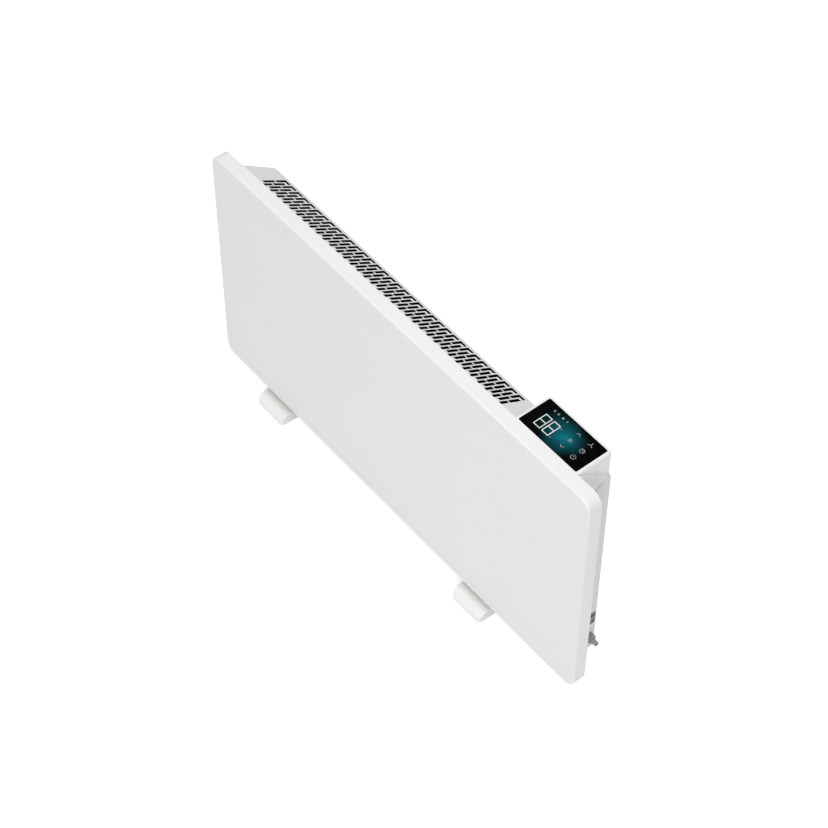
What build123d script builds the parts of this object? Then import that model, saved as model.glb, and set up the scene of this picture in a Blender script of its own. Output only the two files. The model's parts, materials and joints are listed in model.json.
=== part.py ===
from build123d import *
import math
import os

# Wall panel convector heater. Millimetres, +Z up, the front panel faces -Y.
# The origin is under the middle of the heater, on the surface that its feet stand on.

# ---- Front panel: a folded steel tray ----
panel_width = 830.0
panel_height = 430.0
panel_depth = 22.5
panel_sheet = 1.2
panel_corner_radius = 20.0
panel_edge_radius = 4.0

# ---- Rear casing: a folded steel box, open at the front ----
casing_end_gap = 45.0  # from the casing's side to the panel's end
casing_depth = 59.5
casing_sheet = 1.2
casing_bend_radius = 2.0
casing_lip = 12.0  # how far the casing hangs below the panel
slope_start_gap = 2.5  # from the panel's top down to the front of the sloping top
slope_drop = 42.5
rim_width = 16.0  # rim of the casing's mouth that lies on the panel's return flange
side_flange_width = 14.0
side_flange_end_gap = 16.0
casing_screw_count = 3  # on each side flange

# ---- Grille in the sloping top: leaning slots in two staggered rows ----
slot_width = 5.4
slot_length = 27.0
slot_gap = 2.8
slot_pitch = 15.46  # from one L-shaped slot to the next
slot_lean = 6.0  # degrees, to the left going back
slot_leg = 12.8  # leg of the L along the rear edge
slot_leg_width = 6.5
grille_start = 9.0  # down the slope to the first slot of the L row
grille_shift = 13.3  # how much nearer the panel the plain row lies
grille_front_edge = 1.8
grille_rear_end = 64.5  # down the slope to the outside of the L
grille_left_gap = 41.8
grille_right_gap = 27.0
intake_slot_length = 38.0
intake_slot_width = 5.0
intake_pitch = 22.0
intake_foot_gap = 12.0

# ---- Control pod on the right end of the slope ----
pod_width = 124.3
pod_end_gap = 4.5  # from the pod's side to the casing's side
pod_overhang = 1.8
pod_wall = 2.5
pod_top = 3.5
pod_corner_radius = 4.0
pod_seam_gap = 0.3
cheek_drop = 76.8
cheek_thickness = 2.0
cheek_overlap = 5.0
glass_side_rim = 4.6
glass_rear_rim = 4.1
glass_front_rim = 1.0
glass_thickness = 2.0
glass_clearance = 0.15
window_side_margin = 21.0
window_front_margin = 11.5
window_rear_margin = 1.7
pod_boss_radius = 3.5
pod_boss_height = 7.0
pod_boss_inset = 5.5
pod_boss_places = (30.0, 55.0)  # down the slope
mouth_left_margin = 15.0  # casing's cut-out under the pod
mouth_rear_margin = 4.0

# ---- Display board under the glass ----
board_thickness = 1.6
display_board_width = 100.0
display_board_depth = 38.0
display_board_drop = 9.4  # from the pod's top to the board's upper face
display_boss_radius = 3.0
display_boss_inset = 4.0
display_module_width = 70.0
display_module_depth = 30.0
display_module_gap = 0.2
connector_size = (14.0, 5.0, 4.0)

# ---- Electronics bay in the right end of the casing ----
bay_gap = 7.0  # from the partition to the pod's left side
partition_sheet = 1.0
partition_flange = 12.0
partition_top_gap = 1.0
tray_width = 112.0
tray_height = 190.0
tray_base = 2.0
tray_post_height = 7.8
tray_post_radius = 3.5
tray_bottom_rise = 162.0  # above the casing's floor
tray_flange_gap = 2.0
power_board_margin = 3.0
relay_size = (16.0, 15.0, 28.0)
relay_pitch = 24.0
relay_rise = 16.0  # above the power board's lower edge
capacitor_radius = 8.0
capacitor_length = 16.0
capacitor_inset = (32.0, 28.0)  # from the board's right and lower edges
terminal_size = (36.0, 20.0, 16.0)
terminal_cells = 3
terminal_groove = (2.0, 6.4)  # width and depth of the groove between two cells
terminal_inset = (44.0, 32.0)  # from the casing's right side, and behind the panel
sensor_size = (8.0, 8.0, 10.0)
sensor_bead_radius = 2.0
sensor_inset = (100.0, 30.0)
tilt_size = (18.0, 18.0, 22.0)
tilt_rise = 62.0
earth_inset = (26.0, 14.0)
ribbon_width = 12.0
ribbon_thickness = 0.8
ribbon_run = 22.0

# ---- Convection element ----
element_left_gap = 86.0  # from the casing's left side to the fins
element_rise = 102.0  # above the casing's floor
element_back_gap = 30.0  # from the casing's back to the element's axis
fin_count = 8
fin_length = 20.5
fin_thickness = 1.8
fin_root_radius = 8.0
core_radius = 4.4
core_overhang = 15.0
core_fit = 0.08
core_pin_radius = 1.2
core_pin_length = 8.0
core_pin_spacing = 4.4
insulator_radius = 8.0
insulator_flange_radius = 11.0
insulator_flange = 3.0
insulator_length = 10.0
insulator_fit = 0.08
bracket_sheet = 1.5
bracket_height = 44.0
bracket_flange = 14.0
bracket_reach = 14.0  # past the element's axis
bracket_gap = 4.0  # from the fins to the bracket
lead_radius = 1.3
lead_level_run = 40.0  # past the partition, before the leads turn down
lead_turn_rise = 14.0  # the turn's height above the middle of the drop
bend_share = 0.45  # of the shorter run, taken by each bend
grommet_radius = 9.0
grommet_bore = 5.0
grommet_length = 5.0
grommet_neck_radius = 7.0
reflector_sheet = 0.6
reflector_stand_off = 6.8
reflector_foot = 12.0
reflector_side_gap = 12.0  # to the brackets
reflector_bottom_rise = 32.0
reflector_height = 330.0
cutout_radius = 8.0
cutout_thickness = 8.0
cutout_ear = (26.0, 10.0, 1.0)
cutout_rise = 182.0

# ---- Mains rocker switch in the casing's right side ----
switch_rise = 75.0  # above the casing's floor
switch_back_gap = 9.3  # from the casing's back
bezel_height = 26.0
bezel_width = 12.5
bezel_thickness = 1.2
switch_body_height = 23.6
switch_body_width = 10.6
switch_body_depth = 18.0
switch_cutout_clearance = 0.1
rocker_width = 8.0
rocker_side_gap = 0.25
rocker_radius = 10.0
rocker_end_gap = 0.3
rocker_pivot_inset = 1.5  # inside the casing's side
rocker_face_rise = 2.8
rocker_face_angle = 8.0  # degrees; the rocker tips by this much each way
rocker_depth = 4.0
rocker_pin_radius = 1.3
rocker_pin_fit = 0.06
rocker_pin_gap = 0.2
blade_size = (8.0, 4.8, 0.8)
blade_pitch = 7.0

# ---- Cable gland in the casing's right side ----
gland_rise = 33.5
gland_back_gap = 13.0
gland_flange_radius = 8.6
gland_flange = 3.0
gland_thread_radius = 6.0
gland_thread_length = 9.0
gland_hole_clearance = 0.1
gland_bore = 3.6
cap_radius = 8.0
cap_length = 6.5
cap_chamfer = 2.0
seal_radius = 4.2
seal_tip_radius = 3.8
seal_length = 9.5
seal_step = 5.0
seal_fit = 0.05
cord_bore = 3.1
locknut_flats = 16.0
locknut_thickness = 4.0

# ---- Feet ----
foot_width = 64.0
foot_reach = 17.0  # in front of the panel's face
foot_rear_reach = 17.0  # behind the casing's back
foot_height = 16.8
foot_front_height = 12.3
foot_shoulder = 11.5  # depth of the sloping shoulder
foot_lug_rise = 1.5  # lip in front of the casing's bottom edge
foot_lug_gap = 0.3
foot_corner_radius = 6.0
foot_wall = 3.0
foot_roof = 4.0
foot_end = 22.0
foot_rib = 3.0
left_foot_inset = 133.0  # from the panel's left end to the foot's middle
right_foot_inset = 217.0
pad_thickness = 1.2
pad_width = 52.0
pad_depth = 14.0
pad_inset = 3.0
foot_screw_gap = 2.4  # from the rear screw's head to the end of the pocket under the foot

# ---- Wall bracket, hung in the casing's back, and the lower spacers ----
wall_gap = 17.0
wall_sheet = 1.5
wall_rail_width = 330.0
wall_rail_height = 60.0
wall_hook_rise = 292.0  # above the casing's floor
wall_hook_spread = 120.0
wall_hook_width = 20.0
wall_hook_lip = 12.0
hook_slot_clearance = 1.0
hook_slot_extra = 0.5
hook_lip_gap = 0.3
wall_hole_spread_x = 280.0
wall_hole_spread_z = 30.0
wall_hole_radius = 3.0
spacer_radius = 10.0
spacer_rise = 60.0
spacer_inset = 70.0  # from the casing's side
spacer_stem_radius = 3.0
spacer_stem_length = 5.0

# ---- Screws ----
screw_fit = 0.05
lead_sides = 5  # small round things have few sides, which keeps the mesh light
screw_sides = 6
post_sides = 8
hidden_sides = 12
small_screw = (1.4, 2.6, 1.6)  # shank radius, head radius, head height
sheet_screw = (1.9, 3.8, 2.2)
foot_screw = (2.2, 4.4, 2.6)
pilot_depth = 6.0
pilot_run_out = 2.0  # of the pilot, past the screw's tip
cut_margin = 1.0  # how far a cutter starts outside its piece

# ---- Places worked out from the sizes above ----
foot_depth = foot_reach + panel_depth + casing_depth + foot_rear_reach
casing_floor = pad_thickness + foot_height
panel_bottom = casing_floor + casing_lip
panel_top = panel_bottom + panel_height
panel_face = -foot_depth / 2 + foot_reach
panel_back = panel_face + panel_depth
casing_back = panel_back + casing_depth
casing_half = panel_width / 2 - casing_end_gap
casing_middle = (panel_back + casing_back) / 2
inner_floor = casing_floor + casing_sheet
inner_back = casing_back - casing_sheet
inner_side = casing_half - casing_sheet
slope_top = panel_top - slope_start_gap
slope_angle = math.atan2(slope_drop, casing_depth)
slope_length = math.hypot(slope_drop, casing_depth)
mouth_rear = slope_length - mouth_rear_margin
slope_plane = Plane(
    origin=(0, panel_back, slope_top),
    x_dir=(1, 0, 0),
    z_dir=(0, math.sin(slope_angle), math.cos(slope_angle)),
)
mouth_half = casing_half - rim_width
mouth_bottom = panel_bottom + rim_width
mouth_top = slope_top - rim_width
flange_bottom = panel_bottom + side_flange_end_gap
flange_top = panel_top - side_flange_end_gap - panel_corner_radius
pod_right = casing_half - pod_end_gap
pod_left = pod_right - pod_width
pod_back = casing_back + pod_overhang
glass_left = pod_left + glass_side_rim
glass_right = pod_right - glass_side_rim
glass_front = panel_back + glass_front_rim
glass_back = pod_back - glass_rear_rim
partition_x = pod_left - bay_gap
element_y = casing_back - element_back_gap
element_z = casing_floor + element_rise
element_right = partition_x - grommet_length - core_overhang - insulator_length - core_pin_length
element_left = element_left_gap - casing_half
element_length = element_right - element_left
switch_y = casing_back - switch_back_gap
switch_z = casing_floor + switch_rise
gland_y = casing_back - gland_back_gap
gland_z = casing_floor + gland_rise
rocker_x = casing_half - rocker_pivot_inset
left_foot_x = left_foot_inset - panel_width / 2
right_foot_x = panel_width / 2 - right_foot_inset
spacer_spread = casing_half - spacer_inset
foot_screw_spread = foot_depth / 2 - foot_end - foot_screw_gap - foot_screw[1] - casing_middle
left_of, right_of = (-1, 0, 0), (1, 0, 0)
forward, backward = (0, -1, 0), (0, 1, 0)
downward, upward = (0, 0, -1), (0, 0, 1)
ends = (-1, 1)


def block(x0, x1, y0, y1, z0, z1):
    """A box between two corners."""
    return Pos((x0 + x1) / 2, (y0 + y1) / 2, (z0 + z1) / 2) * Box(x1 - x0, y1 - y0, z1 - z0)


def prism_x(points, x0, x1):
    """A solid whose outline is drawn in Y and Z and which runs from x0 to x1."""
    outline = make_face(Polyline(*[(x0, y, z) for y, z in points], close=True))
    return extrude(outline, amount=x1 - x0, dir=right_of)


def prism_z(points, z0, z1):
    """A solid whose outline is drawn in X and Y and which runs from z0 to z1."""
    outline = make_face(Polyline(*[(x, y, z0) for x, y in points], close=True))
    return extrude(outline, amount=z1 - z0, dir=upward)


def rod(start, direction, radius, length):
    """A round bar that runs from start along direction."""
    return Part([Solid.make_cylinder(radius, length, Plane(origin=start, z_dir=direction))])


def peg(start, direction, radius, length, sides=hidden_sides):
    """A small bar with few sides, for what is hidden or repeated."""
    return extrude(Plane(origin=start, z_dir=direction) * RegularPolygon(radius, sides), amount=length)


def opposite(direction):
    """The direction turned round."""
    return tuple(-value for value in direction)


def screw(seat, direction, size, length):
    """A hex-head screw whose head stands on its seat and whose shank points along direction."""
    shank_radius, head_radius, head_height = size
    shank = peg(seat, direction, shank_radius, length, screw_sides)
    return shank + peg(seat, opposite(direction), head_radius, head_height, screw_sides)


def screw_hole(seat, direction, size, length):
    """The hole that a screw of this size passes."""
    return peg(seat, direction, size[0] + screw_fit, length, screw_sides)


def slope_z(y):
    """Height of the sloping top's outside at the depth y."""
    return slope_top - (y - panel_back) * slope_drop / casing_depth


def on_slope(x, distance, lift=0.0):
    """The point at x and at a distance down the slope, lifted off its outside."""
    return tuple(slope_plane.from_local_coords(Vector(x, distance, lift)))


def slope_yz(distance, lift=0.0):
    """Depth and height of a point on the slope."""
    return on_slope(0, distance, lift)[1:]


# ---- Front panel ----
def casing_screw_places():
    """Middle of each screw in the casing's side flanges."""
    span = flange_top - flange_bottom
    pitch = span / casing_screw_count
    heights = [flange_bottom + pitch * (row + 0.5) for row in range(casing_screw_count)]
    x = casing_half + side_flange_width / 2
    return [(side * x, height) for side in ends for height in heights]


def front_panel():
    """Tray with a rounded front edge and a flat return flange round the casing's mouth."""
    middle = panel_bottom + panel_height / 2
    face = Plane(origin=(0, panel_face, middle), x_dir=right_of, z_dir=forward)
    outline = RectangleRounded(panel_width, panel_height, panel_corner_radius)
    tray = extrude(face * outline, amount=-panel_depth)
    tray = fillet(tray.faces().sort_by(Axis.Y)[0].edges(), panel_edge_radius)
    hollow_outline = RectangleRounded(
        panel_width - 2 * panel_sheet,
        panel_height - 2 * panel_sheet,
        panel_corner_radius - panel_sheet,
    )
    hollow_face = face.offset(-panel_sheet)
    hollow = extrude(hollow_face * hollow_outline, amount=-(panel_depth - 2 * panel_sheet))
    hollow = chamfer(hollow.faces().sort_by(Axis.Y)[0].edges(), (panel_edge_radius - panel_sheet) / 2)
    mouth = block(
        -mouth_half, mouth_half,
        panel_back - 2 * panel_sheet, panel_back + panel_sheet,
        mouth_bottom, mouth_top,
    )
    holes = [
        screw_hole((x, panel_back + panel_sheet, z), forward, sheet_screw, 3 * panel_sheet)
        for x, z in casing_screw_places()
    ]
    return tray - hollow - mouth - holes


# ---- Rear casing ----
def casing_profile(inset):
    """Side outline of the casing, drawn in by the sheet's thickness but open at the front."""
    top_inset = inset / math.cos(slope_angle)
    back = casing_back - inset
    return [
        (panel_back, casing_floor + inset),
        (back, casing_floor + inset),
        (back, slope_z(back) - top_inset),
        (panel_back, slope_top - top_inset),
    ]


def grille_count():
    """How many L-shaped slots fit between the casing's left end and the pod."""
    room = pod_left - grille_right_gap - (grille_left_gap - casing_half)
    return int(room // slot_pitch)


def slot_solid(points):
    """Cutter for one slot, its outline given across and down the slope."""
    outline = make_face(Polyline(*points, close=True))
    return extrude(slope_plane * outline, amount=2 * casing_sheet, both=True)


def plain_slot(x, start, end):
    """A straight slot that leans to the left as it goes back."""
    near = x - start * math.tan(math.radians(slot_lean))
    far = x - end * math.tan(math.radians(slot_lean))
    return slot_solid([(near, start), (near + slot_width, start), (far + slot_width, end), (far, end)])


def hooked_slot(x, start, end):
    """A straight slot that turns along the rear edge into a leg."""
    lean = math.tan(math.radians(slot_lean))
    near, far, knee = x - start * lean, x - end * lean, end - slot_leg_width
    inside = x - knee * lean
    return slot_solid([
        (near, start),
        (near + slot_width, start),
        (inside + slot_width, knee),
        (inside + slot_leg, knee),
        (far + slot_leg, end),
        (far, end),
    ])


def grille_slots():
    """Both rows of the grille."""
    second = grille_start + slot_length + slot_gap
    shifted = second - grille_shift
    slots = []
    for index in range(grille_count()):
        x = grille_left_gap - casing_half + index * slot_pitch
        slots.append(plain_slot(x, grille_start, grille_start + slot_length))
        slots.append(hooked_slot(x, second, grille_rear_end))
        x += slot_pitch / 2
        slots.append(plain_slot(x, grille_front_edge, shifted - slot_gap))
        slots.append(plain_slot(x, shifted, shifted + slot_length))
    return slots


def intake_slots():
    """Air intake in the casing's floor, between the feet."""
    start = left_foot_x + foot_width / 2 + intake_foot_gap
    room = right_foot_x - foot_width / 2 - intake_foot_gap - start
    count = int(room // intake_pitch)
    first = start + (room - (count - 1) * intake_pitch) / 2
    half_length, half_width = intake_slot_length / 2, intake_slot_width / 2
    slots = []
    for index in range(count):
        x = first + index * intake_pitch
        slots.append(block(
            x - half_width, x + half_width,
            casing_middle - half_length, casing_middle + half_length,
            casing_floor - casing_sheet, inner_floor + casing_sheet,
        ))
    return slots


def cheek_line():
    """Corners of the side's cut-out: front and rear of the slope, and front of the seam."""
    return [(panel_back, slope_top), slope_yz(mouth_rear), (panel_back, slope_top - cheek_drop)]


def seam_z(y):
    """Height at the depth y of the edge where the casing's side meets the cheek."""
    rear_y, rear_z = slope_yz(mouth_rear)
    front_z = slope_top - cheek_drop
    return front_z + (y - panel_back) * (rear_z - front_z) / (rear_y - panel_back)


def pod_mouth():
    """The corner of the casing that the pod closes."""
    reach = casing_sheet * 3
    rear = mouth_rear
    over_slope = prism_x(
        [slope_yz(0, reach), slope_yz(rear, reach), slope_yz(rear, -reach), slope_yz(0, -reach)],
        pod_left + mouth_left_margin, inner_side,
    )
    side_cut = prism_x(cheek_line(), inner_side, casing_half + casing_sheet)
    return [over_slope, side_cut]


def hook_slot(side):
    """Slot in the casing's back for one hook of the wall bracket."""
    half = wall_hook_width / 2 + hook_slot_clearance
    top = casing_floor + wall_hook_rise
    return block(
        side * wall_hook_spread - half, side * wall_hook_spread + half,
        inner_back - casing_sheet, casing_back + casing_sheet,
        top - wall_hook_lip - wall_sheet - hook_slot_extra, top,
    )


def rear_casing():
    """Folded box with its slotted slope, its rim and side flanges, and all its cut-outs."""
    shell = prism_x(casing_profile(0), -casing_half, casing_half)
    rear_bends = shell.faces().sort_by(Axis.Y)[-1].edges().filter_by(Axis.Z)
    shell = fillet(rear_bends, casing_bend_radius)
    shell -= prism_x(casing_profile(casing_sheet), -inner_side, inner_side)
    rim_back = panel_back + casing_sheet
    shell += block(-inner_side, inner_side, panel_back, rim_back, inner_floor, mouth_bottom)
    shell += block(
        -inner_side, partition_x, panel_back, rim_back, mouth_top,
        slope_top - casing_sheet / math.cos(slope_angle) - casing_sheet,
    )
    for side in ends:
        inner, outer = side * inner_side, side * (casing_half + side_flange_width)
        shell += block(min(inner, outer), max(inner, outer), panel_back, rim_back, flange_bottom, flange_top)
    cuts = grille_slots() + intake_slots() + pod_mouth()
    cuts += [
        screw_hole((x, rim_back + casing_sheet, z), forward, sheet_screw, 3 * casing_sheet)
        for x, z in casing_screw_places()
    ]
    cuts += [screw_hole(*place, sheet_screw, 3 * casing_sheet) for place in inner_screw_places()]
    cuts += [
        screw_hole((x, y, casing_floor - casing_sheet), upward, foot_screw, 3 * casing_sheet)
        for x, y in foot_screw_places()
    ]
    cuts += [
        screw_hole(on_slope(x, distance, -2 * casing_sheet), slope_plane.z_dir, small_screw,
                   3 * casing_sheet)
        for x, distance in pod_screw_places()
    ]
    cuts += [hook_slot(side) for side in ends]
    cuts += [
        peg((x, casing_back + casing_sheet, z), forward, spacer_stem_radius + screw_fit, 3 * casing_sheet)
        for x, z in spacer_places()
    ]
    cuts.append(screw_hole((*earth_place(), inner_floor + casing_sheet), downward, sheet_screw,
                           3 * casing_sheet))
    half_height = switch_body_height / 2 + switch_cutout_clearance
    half_width = switch_body_width / 2 + switch_cutout_clearance
    cuts.append(block(
        inner_side - casing_sheet, casing_half + casing_sheet,
        switch_y - half_width, switch_y + half_width,
        switch_z - half_height, switch_z + half_height,
    ))
    cuts.append(peg(
        (inner_side - casing_sheet, gland_y, gland_z), right_of,
        gland_thread_radius + gland_hole_clearance, 3 * casing_sheet,
    ))
    return shell - cuts


def casing_screws():
    """Screws through the side flanges into the panel's return flange."""
    seat = panel_back + casing_sheet
    length = casing_sheet + panel_sheet
    return [screw((x, seat, z), forward, sheet_screw, length) for x, z in casing_screw_places()]


# ---- Control pod ----
def pod_screw_places():
    """Across and down the slope, the middle of each screw that holds the pod."""
    return [(pod_left + pod_boss_inset, distance) for distance in pod_boss_places]


def display_boss_places():
    """Corner bosses that carry the display board, under the pod's top."""
    x_middle = (glass_left + glass_right) / 2
    x_reach = display_board_width / 2 - display_boss_inset
    y_front = display_board_front() + display_boss_inset
    y_back = y_front + display_board_depth - 2 * display_boss_inset
    return [(x_middle + side * x_reach, y) for side in ends for y in (y_front, y_back)]


def display_board_front():
    """Front edge of the display board, which ends just inside the pod's back wall."""
    return pod_back - pod_wall - pod_seam_gap - display_board_depth


def pod_shell():
    """Hollow wedge between the slope and the level of the panel's top."""
    seat = [(panel_back, slope_top), (pod_back, slope_z(pod_back))]
    wedge = prism_x([(panel_back, panel_top), (pod_back, panel_top), *reversed(seat)], pod_left, pod_right)
    rear_corners = wedge.edges().filter_by(Axis.Z).group_by(Axis.Y)[-1]
    wedge = fillet(rear_corners, pod_corner_radius)
    ceiling = panel_top - pod_top
    back = pod_back - pod_wall
    tip = panel_back + (slope_top - ceiling) * casing_depth / slope_drop
    below = pod_top
    hollow = prism_x(
        [(tip, ceiling), (back, ceiling), (back, slope_z(back) - below), (tip, ceiling - below)],
        pod_left + pod_wall, pod_right - pod_wall,
    )
    return wedge - hollow


def pod_cheek():
    """Flange on the slope's level and the cheek that is tucked behind the casing's side."""
    front = panel_back + casing_sheet + pod_seam_gap
    rear = slope_yz(mouth_rear)[0] - casing_sheet - pod_seam_gap
    slab_height = cheek_thickness / math.cos(slope_angle)
    ledge = prism_x(
        [
            (front, slope_z(front)), (rear, slope_z(rear)),
            (rear, slope_z(rear) - slab_height), (front, slope_z(front) - slab_height),
        ],
        pod_right - pod_wall, inner_side,
    )
    cheek = prism_x(
        [
            (front, slope_z(front)), (rear, slope_z(rear)),
            (rear, seam_z(rear) - cheek_overlap), (front, seam_z(front) - cheek_overlap),
        ],
        inner_side - cheek_thickness, inner_side,
    )
    return ledge + cheek


def pod_housing():
    """Moulded housing: wedge, cheek, glass recess, display window and screw bosses."""
    housing = pod_shell() + pod_cheek()
    ceiling = panel_top - pod_top
    board_top = panel_top - display_board_drop
    for x, y in display_boss_places():
        housing += peg((x, y, board_top), upward, display_boss_radius, ceiling - board_top, post_sides)
    for x, distance in pod_screw_places():
        housing += peg(on_slope(x, distance), slope_plane.z_dir, pod_boss_radius, pod_boss_height,
                       post_sides)
    glass_floor = panel_top - glass_thickness
    recess = block(
        glass_left - glass_clearance, glass_right + glass_clearance,
        glass_front - glass_clearance, glass_back + glass_clearance,
        glass_floor, panel_top + pod_top,
    )
    window = block(
        glass_left + window_side_margin, glass_right - window_side_margin,
        glass_front + window_front_margin, glass_back - window_rear_margin,
        ceiling - pod_top, panel_top,
    )
    pilots = [screw_hole((x, y, board_top - cut_margin), upward, small_screw, pilot_depth)
              for x, y in display_boss_places()]
    pilots += [screw_hole(on_slope(x, distance, -cut_margin), slope_plane.z_dir, small_screw, pilot_depth)
               for x, distance in pod_screw_places()]
    return housing - recess - window - pilots


def touch_glass():
    """Flat touch glass, level with the pod's rim."""
    return block(
        glass_left, glass_right, glass_front, glass_back, panel_top - glass_thickness, panel_top,
    )


def pod_screws():
    """Screws from inside the casing, up through the slope into the pod."""
    length = casing_sheet + pilot_depth - pilot_run_out
    return [
        screw(on_slope(x, distance, -casing_sheet), slope_plane.z_dir, small_screw, length)
        for x, distance in pod_screw_places()
    ]


def display_board():
    """Printed board with its display module above and its connector below."""
    x_middle = (glass_left + glass_right) / 2
    half = display_board_width / 2
    front = display_board_front()
    top = panel_top - display_board_drop
    board = block(x_middle - half, x_middle + half, front, front + display_board_depth,
                  top - board_thickness, top)
    y_middle = front + display_board_depth / 2
    module_top = panel_top - glass_thickness - display_module_gap
    board += block(
        x_middle - display_module_width / 2, x_middle + display_module_width / 2,
        y_middle - display_module_depth / 2, y_middle + display_module_depth / 2,
        top, module_top,
    )
    ribbon_x, ribbon_y = ribbon_place()
    width, depth, height = connector_size
    board += block(
        ribbon_x - width / 2, ribbon_x + width / 2, ribbon_y - depth / 2, ribbon_y + depth / 2,
        top - board_thickness - height, top - board_thickness,
    )
    holes = [screw_hole((x, y, top - 2 * board_thickness), upward, small_screw, 3 * board_thickness)
             for x, y in display_boss_places()]
    return board - holes


def display_screws():
    """Screws that hold the display board to its bosses."""
    seat = panel_top - display_board_drop - board_thickness
    length = board_thickness + pilot_depth - pilot_run_out
    return [screw((x, y, seat), upward, small_screw, length) for x, y in display_boss_places()]


# ---- Electronics bay ----
def ribbon_place():
    """Middle of the ribbon where it leaves the display board."""
    return (glass_left + glass_right) / 2, display_board_front() + display_board_depth / 2


def display_ribbon():
    """Flat cable from the display board down to the power board."""
    x, y = ribbon_place()
    start = panel_top - display_board_drop - board_thickness - connector_size[2]
    end = power_board_top()
    end_y = power_board_face() - connector_size[1] / 2
    bend_top, bend_bottom = start - ribbon_run, end + ribbon_run
    run = math.hypot(end_y - y, bend_top - bend_bottom)
    turn = math.atan2(abs(end_y - y), bend_top - bend_bottom)
    radius = bend_share * min(ribbon_run, run) / math.tan(turn / 2)
    path = FilletPolyline((x, y, start), (x, y, bend_top), (x, end_y, bend_bottom), (x, end_y, end),
                          radius=radius)
    section = Plane(origin=(x, y, start), z_dir=downward) * Rectangle(ribbon_width, ribbon_thickness)
    return sweep(section, path=path)


def bay_partition():
    """Sheet between the hot duct and the bay, flanged on to the casing's back."""
    top_inset = casing_sheet / math.cos(slope_angle) + partition_top_gap
    front = panel_back + casing_sheet
    wall = prism_x(
        [
            (front, inner_floor),
            (inner_back, inner_floor),
            (inner_back, slope_z(inner_back) - top_inset),
            (front, slope_z(front) - top_inset),
        ],
        partition_x - partition_sheet, partition_x,
    )
    front_notch = block(
        partition_x - 2 * partition_sheet, partition_x + partition_sheet,
        panel_back, front + partition_sheet, casing_floor, mouth_bottom + partition_top_gap,
    )
    flange = block(
        partition_x, partition_x + partition_flange, inner_back - partition_sheet, inner_back,
        inner_floor, slope_z(inner_back) - top_inset,
    )
    lead_hole = peg((partition_x - 2 * partition_sheet, element_y, element_z), right_of,
                    grommet_neck_radius + screw_fit, 3 * partition_sheet)
    holes = [screw_hole(seat, direction, sheet_screw, 3 * casing_sheet)
             for seat, direction in inner_screw_places()]
    return wall + flange - front_notch - lead_hole - holes


def partition_grommet():
    """Grooved rubber ring in the partition's hole."""
    middle = partition_x - partition_sheet / 2
    start = middle - grommet_length / 2
    ring = peg((start, element_y, element_z), right_of, grommet_radius, grommet_length)
    band = peg((middle - partition_sheet / 2, element_y, element_z), right_of,
               grommet_radius + screw_fit, partition_sheet)
    neck = peg((start, element_y, element_z), right_of, grommet_neck_radius, grommet_length)
    bore = peg((start, element_y, element_z), right_of, grommet_bore, grommet_length)
    return ring - band + neck - bore


def tray_left():
    """Left side of the power board's tray."""
    return partition_x + partition_flange + tray_flange_gap


def tray_post_places():
    """Posts that carry the power board."""
    left, bottom = tray_left(), casing_floor + tray_bottom_rise
    inset = 2 * power_board_margin + tray_post_radius
    return [
        (x, z)
        for x in (left + inset, left + tray_width - inset)
        for z in (bottom + inset, bottom + tray_height - inset)
    ]


def power_board_face():
    """Front face of the power board."""
    return inner_back - tray_base - tray_post_height - board_thickness


def power_board_top():
    """Upper edge of the power board."""
    return casing_floor + tray_bottom_rise + tray_height - power_board_margin


def board_tray():
    """Moulded tray on the casing's back with four posts."""
    left, bottom = tray_left(), casing_floor + tray_bottom_rise
    face = inner_back - tray_base
    tray = block(left, left + tray_width, face, inner_back, bottom, bottom + tray_height)
    for x, z in tray_post_places():
        tray += peg((x, face, z), forward, tray_post_radius, tray_post_height, post_sides)
    pilots = [screw_hole((x, face - tray_post_height, z), backward, small_screw, pilot_depth)
              for x, z in tray_post_places()]
    return tray - pilots


def power_board():
    """Power board with its relays, capacitor and ribbon connector."""
    left, bottom = tray_left() + power_board_margin, casing_floor + tray_bottom_rise + power_board_margin
    right, top = tray_left() + tray_width - power_board_margin, power_board_top()
    face = power_board_face()
    board = block(left, right, face, face + board_thickness, bottom, top)
    width, depth, height = relay_size
    relay_bottom = bottom + relay_rise
    for x in (left + relay_pitch, left + 2 * relay_pitch):
        board += block(x - width / 2, x + width / 2, face - depth, face, relay_bottom, relay_bottom + height)
    capacitor_seat = (right - capacitor_inset[0], face, bottom + capacitor_inset[1])
    board += peg(capacitor_seat, forward, capacitor_radius, capacitor_length)
    ribbon_x = ribbon_place()[0]
    plug_width, plug_depth, plug_height = connector_size
    board += block(ribbon_x - plug_width / 2, ribbon_x + plug_width / 2, face - plug_depth, face,
                   top - plug_height, top)
    holes = [screw_hole((x, face - cut_margin, z), backward, small_screw, 3 * board_thickness)
             for x, z in tray_post_places()]
    return board - holes


def board_screws():
    """Screws that hold the power board on its posts."""
    seat = power_board_face()
    length = board_thickness + pilot_depth - pilot_run_out
    return [screw((x, seat, z), backward, small_screw, length) for x, z in tray_post_places()]


def tilt_switch():
    """Sealed tilt switch on the partition."""
    width, depth, height = tilt_size
    bottom = casing_floor + tilt_rise
    return block(partition_x, partition_x + width, casing_middle - depth / 2, casing_middle + depth / 2,
                 bottom, bottom + height)


def terminal_place():
    """Middle of the terminal block on the casing's floor."""
    return casing_half - terminal_inset[0] - terminal_size[0] / 2, panel_back + terminal_inset[1]


def terminal_block():
    """Mains terminal block with three cells and their screw wells."""
    x, y = terminal_place()
    width, depth, height = terminal_size
    body = block(x - width / 2, x + width / 2, y - depth / 2, y + depth / 2,
                 inner_floor, inner_floor + height)
    top = inner_floor + height
    groove_width, groove_depth = terminal_groove
    for side in ends:
        groove = x + side * width / terminal_cells / 2
        body -= block(groove - groove_width / 2, groove + groove_width / 2, y - depth / 2, y + depth / 2,
                      top - groove_depth, top)
    return body


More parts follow.
